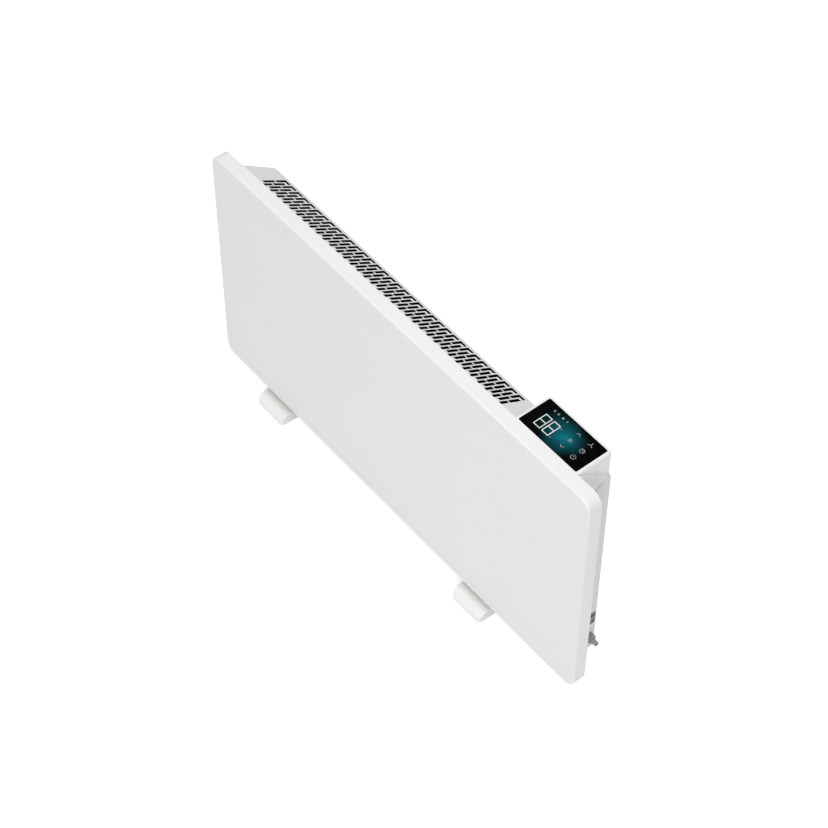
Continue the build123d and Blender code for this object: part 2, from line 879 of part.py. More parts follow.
def lead_route(offset):
    """Route of one element lead: through the grommet, along the bay and down to its cell."""
    x_middle, y_end = terminal_place()
    x_end = x_middle + (offset + 1) / 2 * terminal_size[0] / terminal_cells
    z_end = inner_floor + terminal_size[2]
    start = (element_right + insulator_length + core_overhang + core_pin_length,
             element_y + offset * core_pin_spacing / 2, element_z)
    return [
        start,
        (partition_x + lead_level_run, start[1], start[2]),
        (x_end, y_end, (start[2] + z_end) / 2 + lead_turn_rise),
        (x_end, y_end, z_end),
    ]


def lead_radii(points):
    """Radius at each bend of a lead: as large as its two runs allow."""
    radii = []
    for before, corner, after in zip(points, points[1:], points[2:]):
        a, b, c = Vector(*before), Vector(*corner), Vector(*after)
        turn = math.radians((b - a).get_angle(c - b))
        run = min((b - a).length, (c - b).length)
        radii.append(bend_share * run / math.tan(turn / 2))
    return radii


def element_leads():
    """Two silicone leads from the element's terminals to the terminal block."""
    leads = []
    for offset in ends:
        points = lead_route(offset)
        radii = lead_radii(points)
        print("element lead bend radii", [round(radius, 1) for radius in radii])
        path = FilletPolyline(*points, radius=radii)
        section = Plane(origin=points[0], z_dir=right_of) * RegularPolygon(lead_radius, lead_sides)
        leads.append(sweep(section, path=path))
    return leads


def room_sensor():
    """Temperature probe in its clip on the casing's floor."""
    x, y = casing_half - sensor_inset[0], panel_back + sensor_inset[1]
    width, depth, height = sensor_size
    clip = block(x - width / 2, x + width / 2, y - depth / 2, y + depth / 2,
                 inner_floor, inner_floor + height)
    bead = peg((x, y - depth, inner_floor + height - sensor_bead_radius), backward,
               sensor_bead_radius, 2 * depth)
    return clip + bead


def earth_place():
    """Where the earth screw stands on the casing's floor."""
    return casing_half - earth_inset[0], panel_back + earth_inset[1]


def earth_screw():
    """Earth screw in the casing's floor."""
    x, y = earth_place()
    return screw((x, y, inner_floor), downward, sheet_screw, casing_sheet)


# ---- Convection element ----
def element_fins():
    """Extruded star of fins with a bore for the heater tube."""
    face = Plane(origin=(element_left, element_y, element_z), x_dir=backward, z_dir=right_of)
    star = RegularPolygon(fin_root_radius, hidden_sides)
    for index in range(fin_count // 2):
        angle = (index + 0.5) * 360 / fin_count
        star += Rot(0, 0, angle) * Rectangle(2 * fin_length, fin_thickness)
    bore = peg((element_left, element_y, element_z), right_of, core_radius + core_fit, element_length)
    return extrude(face * star, amount=element_length) - bore


def element_core():
    """Heater tube through the fins, with both terminals at its right end."""
    start = element_left - core_overhang - insulator_length / 2
    end = element_right + core_overhang + insulator_length
    core = peg((start, element_y, element_z), right_of, core_radius, end - start)
    for side in ends:
        y = element_y + side * core_pin_spacing / 2
        core += peg((end, y, element_z), right_of, core_pin_radius, core_pin_length, screw_sides)
    return core


def bracket_face(side):
    """Face of a bracket towards the fins."""
    edge = element_right if side > 0 else element_left
    return edge + side * (bracket_gap + insulator_flange)


def element_insulators():
    """Ceramic bushes that seat in the brackets and hold the tube."""
    bushes = []
    for side in ends:
        direction = right_of if side > 0 else left_of
        face = bracket_face(side)
        flange_start = (face - side * insulator_flange, element_y, element_z)
        bush = peg(flange_start, direction, insulator_flange_radius, insulator_flange)
        bush += peg((face, element_y, element_z), direction, insulator_radius,
                    insulator_length - insulator_flange)
        bushes.append(bush - peg(flange_start, direction, core_radius + core_fit, insulator_length))
    return bushes


def bracket_span(side):
    """Sheet of a bracket in X: from its face outwards."""
    face = bracket_face(side)
    return min(face, face + side * bracket_sheet), max(face, face + side * bracket_sheet)


def element_brackets():
    """Angle brackets that carry the element from the casing's back."""
    brackets = []
    for side in ends:
        low, high = bracket_span(side)
        bottom = element_z - bracket_height / 2
        top = element_z + bracket_height / 2
        bracket = block(low, high, element_y - bracket_reach, inner_back, bottom, top)
        foot = bracket_face(side) - side * bracket_flange
        bracket += block(min(foot, high), max(foot, low), inner_back - bracket_sheet, inner_back, bottom, top)
        bracket -= peg((low - bracket_sheet, element_y, element_z), right_of,
                       insulator_radius + insulator_fit, 3 * bracket_sheet)
        holes = [screw_hole(seat, direction, sheet_screw, 3 * casing_sheet)
                 for seat, direction in inner_screw_places()]
        brackets.append(bracket - holes)
    return brackets


def reflector_span():
    """Both ends of the reflector, between the brackets' feet."""
    inset = bracket_flange + reflector_side_gap
    return bracket_face(-1) + inset, bracket_face(1) - inset


def heat_reflector():
    """Hat-shaped sheet that stands off the casing's back, behind the element."""
    left, right = reflector_span()
    face = inner_back - reflector_stand_off
    foot, sheet = reflector_foot, reflector_sheet
    outline = [
        (left, inner_back),
        (left, inner_back - sheet),
        (left + foot, inner_back - sheet),
        (left + foot, face),
        (right - foot, face),
        (right - foot, inner_back - sheet),
        (right, inner_back - sheet),
        (right, inner_back),
        (right - foot - sheet, inner_back),
        (right - foot - sheet, face + sheet),
        (left + foot + sheet, face + sheet),
        (left + foot + sheet, inner_back),
    ]
    bottom = casing_floor + reflector_bottom_rise
    sheet_body = prism_z(outline, bottom, bottom + reflector_height)
    holes = [screw_hole(seat, direction, sheet_screw, 3 * casing_sheet)
             for seat, direction in inner_screw_places()]
    return sheet_body - holes


def inner_screw_places():
    """Seat and direction of each screw into the casing's back from inside."""
    places = []
    for side in ends:
        x = bracket_face(side) - side * (bracket_flange + bracket_sheet) / 2
        places.append(((x, inner_back - bracket_sheet, element_z + bracket_height / 4), backward))
    left, right = reflector_span()
    z = casing_floor + reflector_bottom_rise + reflector_height / 2
    for x in (left + reflector_foot / 2, right - reflector_foot / 2):
        places.append(((x, inner_back - reflector_sheet, z), backward))
    x = partition_x + partition_flange / 2
    for z in (inner_floor + partition_flange, slope_z(inner_back) - 2 * partition_flange):
        places.append(((x, inner_back - partition_sheet, z), backward))
    return places


def inner_screws():
    """Screws of the brackets, the reflector and the partition."""
    return [
        screw(seat, direction, sheet_screw, casing_back - seat[1])
        for seat, direction in inner_screw_places()
    ]


def thermal_cutout():
    """Disc thermostat on the hot side of the partition."""
    face = partition_x - partition_sheet
    z = casing_floor + cutout_rise
    length, width, thickness = cutout_ear
    ear = block(face - thickness, face, element_y - length / 2, element_y + length / 2,
                z - width / 2, z + width / 2)
    return ear + peg((face, element_y, z), left_of, cutout_radius, cutout_thickness)


# ---- Mains switch ----
def switch_body():
    """Bezel and body, with the well that the rocker tips in."""
    half_height, half_width = switch_body_height / 2, switch_body_width / 2
    body = block(casing_half - switch_body_depth, casing_half, switch_y - half_width,
                 switch_y + half_width, switch_z - half_height, switch_z + half_height)
    bezel = block(casing_half, casing_half + bezel_thickness,
                  switch_y - bezel_width / 2, switch_y + bezel_width / 2,
                  switch_z - bezel_height / 2, switch_z + bezel_height / 2)
    bezel = chamfer(bezel.faces().sort_by(Axis.X)[-1].edges(), bezel_thickness / 3)
    well_half_width = rocker_width / 2 + rocker_side_gap
    well_half_height = rocker_radius + rocker_end_gap
    well_floor = rocker_x - rocker_depth - rocker_radius * math.sin(2 * math.radians(rocker_face_angle))
    well = block(well_floor, casing_half + 2 * bezel_thickness,
                 switch_y - well_half_width, switch_y + well_half_width,
                 switch_z - well_half_height, switch_z + well_half_height)
    axle = rod((rocker_x, switch_y - half_width, switch_z), backward,
               rocker_pin_radius + rocker_pin_fit, switch_body_width)
    return body + bezel - well - axle


def switch_rocker():
    """Rocker with a shallow V face and its two pins, shown with its lower end pressed."""
    half_width = rocker_width / 2
    start = (rocker_x, switch_y - half_width, switch_z)
    drum = rod(start, backward, rocker_radius, rocker_width)
    rise = rocker_radius * math.tan(math.radians(rocker_face_angle))
    waist = rocker_face_rise - rise / 2
    face = Plane(origin=start, x_dir=right_of, z_dir=backward)
    keep = [
        (-rocker_depth, -rocker_radius), (waist + rise, -rocker_radius), (waist, 0.0),
        (waist + rise, rocker_radius), (-rocker_depth, rocker_radius),
    ]
    slab = extrude(face * make_face(Polyline(*keep, close=True)), amount=rocker_width)
    rocker = drum & slab
    reach = switch_body_width / 2 - rocker_pin_gap
    rocker += rod((rocker_x, switch_y - reach, switch_z), backward, rocker_pin_radius, 2 * reach)
    pivot = Axis((rocker_x, switch_y, switch_z), backward)
    return rocker.rotate(pivot, rocker_face_angle)


def switch_terminals():
    """Three blades at the back of the switch."""
    length, width, thickness = blade_size
    start = casing_half - switch_body_depth
    return [
        block(start - length, start, switch_y - width / 2, switch_y + width / 2,
              switch_z + row * blade_pitch - thickness / 2, switch_z + row * blade_pitch + thickness / 2)
        for row in (-1, 0, 1)
    ]


# ---- Cable gland ----
def gland_body():
    """Threaded gland body with its hexagonal flange."""
    start = (casing_half, gland_y, gland_z)
    inner_start = (casing_half - gland_thread_length, gland_y, gland_z)
    flange = Plane(origin=start, x_dir=backward, z_dir=right_of) * RegularPolygon(gland_flange_radius, 6)
    body = extrude(flange, amount=gland_flange)
    body += peg(inner_start, right_of, gland_thread_radius, gland_thread_length)
    bore = peg(inner_start, right_of, gland_bore, gland_thread_length + gland_flange)
    return body - bore


def gland_cap():
    """Faceted cap with a bevelled front that squeezes the seal."""
    start = (casing_half + gland_flange, gland_y, gland_z)
    cap = peg(start, right_of, cap_radius, cap_length)
    cap = chamfer(cap.faces().sort_by(Axis.X)[-1].edges(), cap_chamfer)
    return cap - peg(start, right_of, seal_radius + seal_fit, cap_length)


def gland_seal():
    """Rubber seal through the cap, with its short stepped nose."""
    start = (casing_half + gland_flange, gland_y, gland_z)
    seal = peg(start, right_of, seal_radius, cap_length + seal_step)
    seal += peg(start, right_of, seal_tip_radius, cap_length + seal_length)
    return seal - rod(start, right_of, cord_bore, cap_length + seal_length)


def gland_locknut():
    """Hexagonal nut on the gland's thread, inside the casing."""
    start = (inner_side - locknut_thickness, gland_y, gland_z)
    face = Plane(origin=start, x_dir=backward, z_dir=right_of)
    nut = extrude(face * RegularPolygon(locknut_flats / 2, 6, major_radius=False), amount=locknut_thickness)
    return nut - peg(start, right_of, gland_thread_radius + screw_fit, locknut_thickness)


# ---- Feet ----
def foot_screw_places():
    """Middle of each screw through the feet into the casing's floor."""
    return [
        (x, casing_middle + side * foot_screw_spread)
        for x in (left_foot_x, right_foot_x) for side in ends
    ]


def foot(x_middle):
    """Moulded foot with sloping shoulders, hollow underneath, with one rib."""
    front, back = -foot_depth / 2, foot_depth / 2
    bottom = pad_thickness
    shoulder = pad_thickness + foot_front_height
    lug = casing_floor + foot_lug_rise
    outline = [
        (front, bottom), (front, shoulder), (front + foot_shoulder, lug),
        (panel_back - foot_lug_gap, lug), (panel_back - foot_lug_gap, casing_floor),
        (back - foot_shoulder, casing_floor), (back, shoulder), (back, bottom),
    ]
    left, right = x_middle - foot_width / 2, x_middle + foot_width / 2
    body = prism_x(outline, left, right)
    uprights = body.edges().filter_by(Axis.Z)
    corners = uprights.group_by(Axis.Y)[0] + uprights.group_by(Axis.Y)[-1]
    body = fillet(corners, foot_corner_radius)
    roof = casing_floor - foot_roof
    hollow = block(left + foot_wall, right - foot_wall, front + foot_end, back - foot_end,
                   bottom - cut_margin, roof)
    rib = block(left, right, casing_middle - foot_rib / 2, casing_middle + foot_rib / 2,
                bottom + foot_rib, roof)
    holes = [screw_hole((x, y, bottom), upward, foot_screw, foot_height + foot_lug_rise)
             for x, y in foot_screw_places()]
    return body - (hollow - rib) - holes


def left_foot():
    """Foot near the left end."""
    return foot(left_foot_x)


def right_foot():
    """Foot near the right end, set in to clear the mains inlet."""
    return foot(right_foot_x)


def foot_pads():
    """Rubber pads under both ends of each foot."""
    pads = []
    for x in (left_foot_x, right_foot_x):
        for side in ends:
            outer = side * (foot_depth / 2 - pad_inset)
            inner = outer - side * pad_depth
            pads.append(block(x - pad_width / 2, x + pad_width / 2, min(inner, outer), max(inner, outer),
                              0, pad_thickness))
    return pads


def foot_screws():
    """Screws up through the feet's roofs into the casing's floor."""
    seat = casing_floor - foot_roof
    length = foot_roof + casing_sheet + foot_screw[1]
    return [screw((x, y, seat), upward, foot_screw, length) for x, y in foot_screw_places()]


# ---- Wall fixing ----
def wall_bracket():
    """Rail for the wall with two hooks that enter the casing's back."""
    wall = casing_back + wall_gap
    top = casing_floor + wall_hook_rise
    half = wall_rail_width / 2
    bracket = block(-half, half, wall - wall_sheet, wall, top - wall_rail_height, top)
    lip_back = inner_back - hook_lip_gap
    for side in ends:
        x = side * wall_hook_spread
        low, high = x - wall_hook_width / 2, x + wall_hook_width / 2
        bracket += block(low, high, lip_back - wall_sheet, wall, top - wall_sheet, top)
        bracket += block(low, high, lip_back - wall_sheet, lip_back, top - wall_sheet, top + wall_hook_lip)
    z_middle = top - wall_rail_height / 2
    holes = [
        rod((side * wall_hole_spread_x / 2, wall - 2 * wall_sheet, z_middle + level * wall_hole_spread_z / 2),
            backward, wall_hole_radius, 3 * wall_sheet)
        for side in ends for level in ends
    ]
    return bracket - holes


def spacer_places():
    """Middle of each lower wall spacer."""
    return [(side * spacer_spread, casing_floor + spacer_rise) for side in ends]


def wall_spacers():
    """Buffers on the casing's back that keep it parallel to the wall."""
    spacers = []
    for x, z in spacer_places():
        buffer = peg((x, casing_back, z), backward, spacer_radius, wall_gap)
        spacers.append(buffer + peg((x, casing_back, z), forward, spacer_stem_radius, spacer_stem_length))
    return spacers


sub_parts = (
    front_panel, rear_casing, casing_screws,
    pod_housing, touch_glass, pod_screws, display_board, display_screws, display_ribbon,
    bay_partition, partition_grommet, board_tray, power_board, board_screws, tilt_switch,
    terminal_block, element_leads, room_sensor, earth_screw,
    element_fins, element_core, element_insulators, element_brackets, heat_reflector,
    inner_screws, thermal_cutout,
    switch_body, switch_rocker, switch_terminals,
    gland_body, gland_cap, gland_seal, gland_locknut,
    left_foot, right_foot, foot_pads, foot_screws,
    wall_bracket, wall_spacers,
)

os.makedirs("parts", exist_ok=True)
for sub_part in sub_parts:
    shape = sub_part()
    solids = shape if isinstance(shape, list) else [shape]
    compound = Compound(children=[solid for group in solids for solid in group.solids()])
    export_step(compound, f"parts/{sub_part.__name__}.step")
print(
    f"panel {panel_width} x {panel_height}, overall {panel_top:.1f} high and {foot_depth} deep, "
    f"{grille_count()} hooked slots"
)
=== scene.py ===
import json
import math

import bmesh
import bpy
from mathutils import Matrix, Vector


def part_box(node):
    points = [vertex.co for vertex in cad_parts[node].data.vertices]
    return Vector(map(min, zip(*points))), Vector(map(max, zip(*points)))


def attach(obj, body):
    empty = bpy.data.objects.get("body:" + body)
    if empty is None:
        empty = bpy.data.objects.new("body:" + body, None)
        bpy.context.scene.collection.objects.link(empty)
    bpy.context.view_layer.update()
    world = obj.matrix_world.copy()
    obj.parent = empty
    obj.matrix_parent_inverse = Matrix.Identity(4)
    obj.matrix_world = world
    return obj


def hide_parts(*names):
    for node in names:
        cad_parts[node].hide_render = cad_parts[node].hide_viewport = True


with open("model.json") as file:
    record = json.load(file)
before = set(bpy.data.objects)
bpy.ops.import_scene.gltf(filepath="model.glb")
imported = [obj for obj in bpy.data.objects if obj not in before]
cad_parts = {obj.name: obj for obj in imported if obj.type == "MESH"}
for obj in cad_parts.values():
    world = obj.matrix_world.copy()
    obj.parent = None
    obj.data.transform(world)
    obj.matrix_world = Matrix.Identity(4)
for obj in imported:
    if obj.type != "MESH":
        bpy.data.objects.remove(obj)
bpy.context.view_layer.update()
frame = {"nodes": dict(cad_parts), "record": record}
nodes = frame["nodes"]
slotOfNode = {subpart["node"]: subpart["material_slot"] for subpart in frame["record"]["subparts"]}
mm = 0.001
heater = "heater"
across, deep, upward = 0, 1, 2
print("frame loaded:", len(nodes), "nodes")


# ---- Mesh helpers ----
def near(value, target):
    return abs(value - target) < 1e-5


def addBox(bm, low, high):
    verts = bmesh.ops.create_cube(bm, size=1.0)["verts"]
    bmesh.ops.scale(bm, vec=Vector(high) - Vector(low), verts=verts)
    bmesh.ops.translate(bm, vec=(Vector(high) + Vector(low)) / 2, verts=verts)


def addRod(bm, start, radius, length, segments):
    # a rod along X, or a prism where it has few segments
    verts = bmesh.ops.create_cone(
        bm, cap_ends=True, segments=segments, radius1=radius, radius2=radius, depth=length
    )["verts"]
    place = Matrix.Translation(Vector(start) + Vector((length / 2, 0, 0)))
    bmesh.ops.transform(bm, matrix=place @ Matrix.Rotation(math.pi / 2, 4, "Y"), verts=verts)


def moveNew(bm, made, offset):
    # moves the corners that an extrusion has made
    verts = [part for part in made["geom"] if isinstance(part, bmesh.types.BMVert)]
    bmesh.ops.translate(bm, vec=Vector(offset), verts=verts)
    return verts


def addPrism(bm, outline, offset):
    face = bm.faces.new([bm.verts.new(point) for point in outline])
    moveNew(bm, bmesh.ops.extrude_face_region(bm, geom=[face]), offset)
    bmesh.ops.recalc_face_normals(bm, faces=bm.faces)


def edgesWhere(bm, test):
    return [edge for edge in bm.edges if all(test(vert.co) for vert in edge.verts)]


def edgesAlong(bm, axis, test=lambda co: True):
    found = []
    for edge in edgesWhere(bm, test):
        run = edge.verts[1].co - edge.verts[0].co
        if abs(abs(run[axis]) - run.length) < 1e-7:
            found.append(edge)
    return found


def roundEdges(bm, edges, radius, segments):
    # the dictionaries hold the radius and the segments as a pair, whose name ends in Round
    bmesh.ops.bevel(
        bm, geom=edges, offset=radius, offset_type="OFFSET", affect="EDGES",
        segments=segments, profile=0.5, material=-1,
    )


def cutFaces(bm, faces, cuts, clearInner=False):
    # splits faces along planes and gives back their parts; cuts holds (point, normal) pairs
    for point, normal in cuts:
        geometry = dict.fromkeys(part for face in faces for part in (face, *face.edges, *face.verts))
        made = bmesh.ops.bisect_plane(
            bm, geom=list(geometry), dist=1e-7, plane_co=Vector(point), plane_no=Vector(normal),
            clear_inner=clearInner,
        )["geom"]
        faces = [part for part in made if isinstance(part, bmesh.types.BMFace)]
    return faces


def windowCuts(axes, low, high):
    # planes through two opposite corners of a window, across each of its axes
    cuts = []
    for axis in axes:
        normal = [0.0, 0.0, 0.0]
        normal[axis] = 1.0
        cuts += [(low, normal), (high, normal)]
    return cuts


def squareCuts(point, axes, halves):
    # a window about a point, given by half its size along two axes
    reach = Vector((0, 0, 0))
    for axis, half in zip(axes, halves):
        reach[axis] = half
    return windowCuts(axes, Vector(point) - reach, Vector(point) + reach)


def roundCuts(point, axis, radius, sides=12):
    # planes that touch a circle about a point, across the axis
    cuts = []
    first, second = [other for other in (across, deep, upward) if other != axis]
    for index in range(sides):
        angle = 2 * math.pi * (index + 0.5) / sides
        normal = Vector((0, 0, 0))
        normal[first], normal[second] = math.cos(angle), math.sin(angle)
        cuts.append((Vector(point) + normal * radius, normal))
    return cuts


def faceAt(bm, point):
    # the flat face that holds a point
    bm.normal_update()
    for face in bm.faces:
        away = abs((point - face.calc_center_median()).dot(face.normal))
        if away < 1e-6 and bmesh.geometry.intersect_face_point(face, point):
            return face
    raise ValueError("no face holds this point")


def cutWindow(bm, point, cuts):
    # cuts the flat face at a point along the planes and gives back the part that holds the point
    point = Vector(point)
    parts = cutFaces(bm, [faceAt(bm, point)], cuts)
    return next(part for part in parts if bmesh.geometry.intersect_face_point(part, point))


def openWindow(bm, point, cuts):
    bmesh.ops.delete(bm, geom=[cutWindow(bm, point, cuts)], context="FACES")


def pushWindow(bm, point, cuts, offset):
    # moves the cut part along the offset and leaves walls behind it
    face = cutWindow(bm, point, cuts)
    moveNew(bm, bmesh.ops.extrude_face_region(bm, geom=[face]), offset)
    bmesh.ops.delete(bm, geom=[face], context="FACES_ONLY")


def copySolid(node):
    # a CAD node's triangles, merged
    bm = bmesh.new()
    bm.from_mesh(nodes[node].data)
    bmesh.ops.transform(bm, matrix=nodes[node].matrix_world, verts=bm.verts)
    bmesh.ops.remove_doubles(bm, verts=bm.verts, dist=1e-6)
    return bm


def addObject(name, data):
    made = bpy.data.objects.new(name, data)
    bpy.context.scene.collection.objects.link(made)
    return made


def camelName(name):
    first, *rest = name.split("_")
    return first + "".join(word.capitalize() for word in rest)


def finishPiece(bm, name, material, slot, replaces=(), body=heater, sharpAngle=38.0, wall=0.0, even=True):
    # wall gives an open shell its thickness, inwards
    bmesh.ops.remove_doubles(bm, verts=bm.verts, dist=1e-7)
    bmesh.ops.recalc_face_normals(bm, faces=bm.faces)
    for face in bm.faces:
        face.smooth = True
    for edge in bm.edges:
        joined = len(edge.link_faces) == 2
        edge.smooth = joined and edge.calc_face_angle(0.0) < math.radians(sharpAngle)
    mesh = bpy.data.meshes.new(name)
    bm.to_mesh(mesh)
    bm.free()
    piece = addObject(name, mesh)
    mesh.materials.append(material)
    if wall:
        sheet = piece.modifiers.new("wall", "SOLIDIFY")
        sheet.thickness = wall
        sheet.offset = -1.0
    if even:
        shade = piece.modifiers.new("evenShading", "WEIGHTED_NORMAL")
        shade.keep_sharp = True
    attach(piece, body)
    if replaces:
        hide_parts(*replaces)


def finishNode(bm, node, **finish):
    # a piece that stands for a CAD node takes its name from the node and its material from the node's slot
    slot = slotOfNode[node]
    finishPiece(bm, camelName(node), materialOfSlot[slot], slot, (node,), **finish)


# ---- Node helpers ----
def addNode(tree, kind, inputs=None, **settings):
    node = tree.nodes.new(kind)
    for key, value in settings.items():
        setattr(node, key, value)
    for key, value in (inputs or {}).items():
        if isinstance(value, bpy.types.NodeSocket):
            tree.links.new(value, node.inputs[key])
        else:
            node.inputs[key].default_value = value
    return node


def addMath(tree, operation, first, second=0.0, clamp=False):
    node = addNode(tree, "ShaderNodeMath", {0: first, 1: second}, operation=operation, use_clamp=clamp)
    return node.outputs[0]


def addVector(tree, operation, inputs, output="Vector"):
    return addNode(tree, "ShaderNodeVectorMath", inputs, operation=operation).outputs[output]


def addBlend(tree, factor, first, second):
    return addNode(tree, "ShaderNodeMix", {0: factor, 6: first, 7: second}, data_type="RGBA").outputs[2]


def addRange(tree, value, low, high, newLow=0.0, newHigh=1.0):
    node = addNode(tree, "ShaderNodeMapRange", {
        "Value": value, "From Min": low, "From Max": high, "To Min": newLow, "To Max": newHigh,
    })
    return node.outputs["Result"]


def addNoise(tree, place, scale, detail=2.0, output="Fac"):
    node = addNode(tree, "ShaderNodeTexNoise", {"Vector": place, "Scale": scale, "Detail": detail})
    return node.outputs[output]


def objectPlace(tree):
    return tree.nodes.new("ShaderNodeTexCoord").outputs["Object"]


def gray(value):
    return (value, value, value, 1.0)


def newFinish(name, inputs):
    # a group with named inputs, which puts out a colour, a roughness and a height
    tree = bpy.data.node_groups.new(name, "ShaderNodeTree")
    kinds = {1: "NodeSocketFloat", 3: "NodeSocketVector", 4: "NodeSocketColor"}
    for label, value in inputs.items():
        kind = kinds[len(value) if isinstance(value, tuple) else 1]
        tree.interface.new_socket(name=label, in_out="INPUT", socket_type=kind).default_value = value
    for label, kind in (("Color", kinds[4]), ("Roughness", kinds[1]), ("Height", kinds[1])):
        tree.interface.new_socket(name=label, in_out="OUTPUT", socket_type=kind)
    start = tree.nodes.new("NodeGroupInput")
    end = tree.nodes.new("NodeGroupOutput")
    return tree, start.outputs, end.inputs, objectPlace(tree)


def newMaterial(name, shaderValues):
    material = bpy.data.materials.new(name)
    material.use_nodes = True
    tree = material.node_tree
    shader = tree.nodes["Principled BSDF"]
    for key, value in shaderValues.items():
        shader.inputs[key].default_value = value
    return material, tree, shader


def finishedMaterial(name, shaderValues, group, inputs, bumpDistance):
    # colour, roughness and height of a finish group go to the shader
    material, tree, shader = newMaterial(name, shaderValues)
    outputs = addNode(tree, "ShaderNodeGroup", inputs, node_tree=group).outputs
    tree.links.new(outputs["Color"], shader.inputs["Base Color"])
    tree.links.new(outputs["Roughness"], shader.inputs["Roughness"])
    bump = addNode(tree, "ShaderNodeBump", {"Height": outputs["Height"], "Distance": bumpDistance})
    tree.links.new(bump.outputs["Normal"], shader.inputs["Normal"])
    return material, tree, shader


# ---- Powder coat ----
powder = {
    "cloudScale": 7.0, "cloudShare": 5.0, "peelScale": 520.0, "peelRange": (0.3, 0.7),
    "sheenShift": (-0.04, 0.05), "gritScale": 2600.0, "gritRange": (0.62, 0.72), "gritShare": 0.25,
    "gritHeight": 0.3, "darker": 0.9,
}


def makePowderGroup():
    # baked powder coat: orange peel, finer grit, and a very faint unevenness in tone
    tree, given, result, place = newFinish("powderCoat", {
        "Tone": gray(0.8), "Unevenness": 0.02, "Roughness": 0.4,
    })
    clouds = addNoise(tree, place, powder["cloudScale"], 3.0)
    peel = addNoise(tree, place, powder["peelScale"])
    grit = addNoise(tree, place, powder["gritScale"], 1.0)
    darker = addNode(tree, "ShaderNodeHueSaturation", {"Value": powder["darker"], "Color": given["Tone"]})
    shift = addMath(tree, "MULTIPLY", clouds, given["Unevenness"])
    shift = addMath(tree, "MULTIPLY", shift, powder["cloudShare"])
    speck = addMath(tree, "MULTIPLY", addRange(tree, grit, *powder["gritRange"]), powder["gritShare"])
    mask = addMath(tree, "ADD", shift, speck, clamp=True)
    tree.links.new(addBlend(tree, mask, given["Tone"], darker.outputs[0]), result["Color"])
    sheen = addRange(tree, peel, *powder["peelRange"], *powder["sheenShift"])
    tree.links.new(addMath(tree, "ADD", given["Roughness"], sheen), result["Roughness"])
    height = addMath(tree, "ADD", peel, addMath(tree, "MULTIPLY", grit, powder["gritHeight"]))
    tree.links.new(height, result["Height"])
    return tree


# ---- Moulded plastic ----
moulded = {"driftScale": 24.0, "shadeRange": (0.35, 0.75), "shadeShare": 0.5,
           "sheenRange": (0.3, 0.7), "sheenShift": (-0.05, 0.05)}


def makePlasticGroup():
    # moulded plastic: spark-eroded grain with a slow drift in tone and sheen
    tree, given, result, place = newFinish("mouldedPlastic", {
        "Tone": gray(0.8), "Shade": gray(0.7), "Roughness": 0.45, "Grain": 1800.0,
    })
    drift = addNoise(tree, place, moulded["driftScale"], 3.0)
    mask = addRange(tree, drift, *moulded["shadeRange"], 0.0, moulded["shadeShare"])
    tree.links.new(addBlend(tree, mask, given["Tone"], given["Shade"]), result["Color"])
    sheen = addRange(tree, drift, *moulded["sheenRange"], *moulded["sheenShift"])
    tree.links.new(addMath(tree, "ADD", given["Roughness"], sheen), result["Roughness"])
    tree.links.new(addNoise(tree, place, given["Grain"]), result["Height"])
    return tree


# ---- Bare metal ----
bare = {"streakScale": 9.0, "streakRange": (0.3, 0.75), "streakShare": 0.6, "flakeScale": 160.0,
        "sheenShift": (-0.06, 0.12), "grainDepth": 0.00003}


def makeMetalGroup():
    # bare sheet and bar: drawn streaks along one axis, spangle and dull patches
    tree, given, result, place = newFinish("bareMetal", {
        "Tone": gray(0.6), "Dull": gray(0.4), "Roughness": 0.35, "Spangle": 0.3,
        "Stretch": (4.0, 90.0, 90.0),
    })
    stretched = addVector(tree, "MULTIPLY", {0: place, 1: given["Stretch"]})
    streaks = addNoise(tree, stretched, bare["streakScale"], 3.0)
    flakes = addNode(tree, "ShaderNodeTexVoronoi", {"Vector": place, "Scale": bare["flakeScale"]})
    patch = addNode(tree, "ShaderNodeRGBToBW", {"Color": flakes.outputs["Color"]}).outputs[0]
    spangle = addMath(tree, "MULTIPLY", patch, given["Spangle"])
    streak = addRange(tree, streaks, *bare["streakRange"], 0.0, bare["streakShare"])
    mask = addMath(tree, "ADD", streak, spangle, clamp=True)
    tree.links.new(addBlend(tree, mask, given["Tone"], given["Dull"]), result["Color"])
    sheen = addRange(tree, mask, 0.0, 1.0, *bare["sheenShift"])
    tree.links.new(addMath(tree, "ADD", given["Roughness"], sheen), result["Roughness"])
    tree.links.new(streaks, result["Height"])
    return tree


# ---- Printed board ----
board = {"trackScale": 90.0, "trackGap": 0.03, "sheen": (0.35, 0.5), "trackDepth": 0.00005, "specular": 0.5}


def makeBoardGroup():
    # printed board: copper tracks under green mask, with pale pads
    tree, given, result, place = newFinish("printedBoard", {
        "Mask": (0.02, 0.12, 0.05, 1.0), "Track": (0.04, 0.2, 0.08, 1.0),
    })
    tracks = addNode(tree, "ShaderNodeTexBrick", {
        "Vector": place, "Color1": gray(0.0), "Color2": gray(0.3), "Mortar": gray(1.0),
        "Scale": board["trackScale"], "Mortar Size": board["trackGap"],
    })
    mask = addNode(tree, "ShaderNodeRGBToBW", {"Color": tracks.outputs["Color"]}).outputs[0]
    tree.links.new(addBlend(tree, mask, given["Mask"], given["Track"]), result["Color"])
    tree.links.new(addRange(tree, mask, 0.0, 1.0, *board["sheen"]), result["Roughness"])
    tree.links.new(mask, result["Height"])
    return tree


powderGroup = makePowderGroup()
plasticGroup = makePlasticGroup()
metalGroup = makeMetalGroup()
boardGroup = makeBoardGroup()
print("finish groups made")

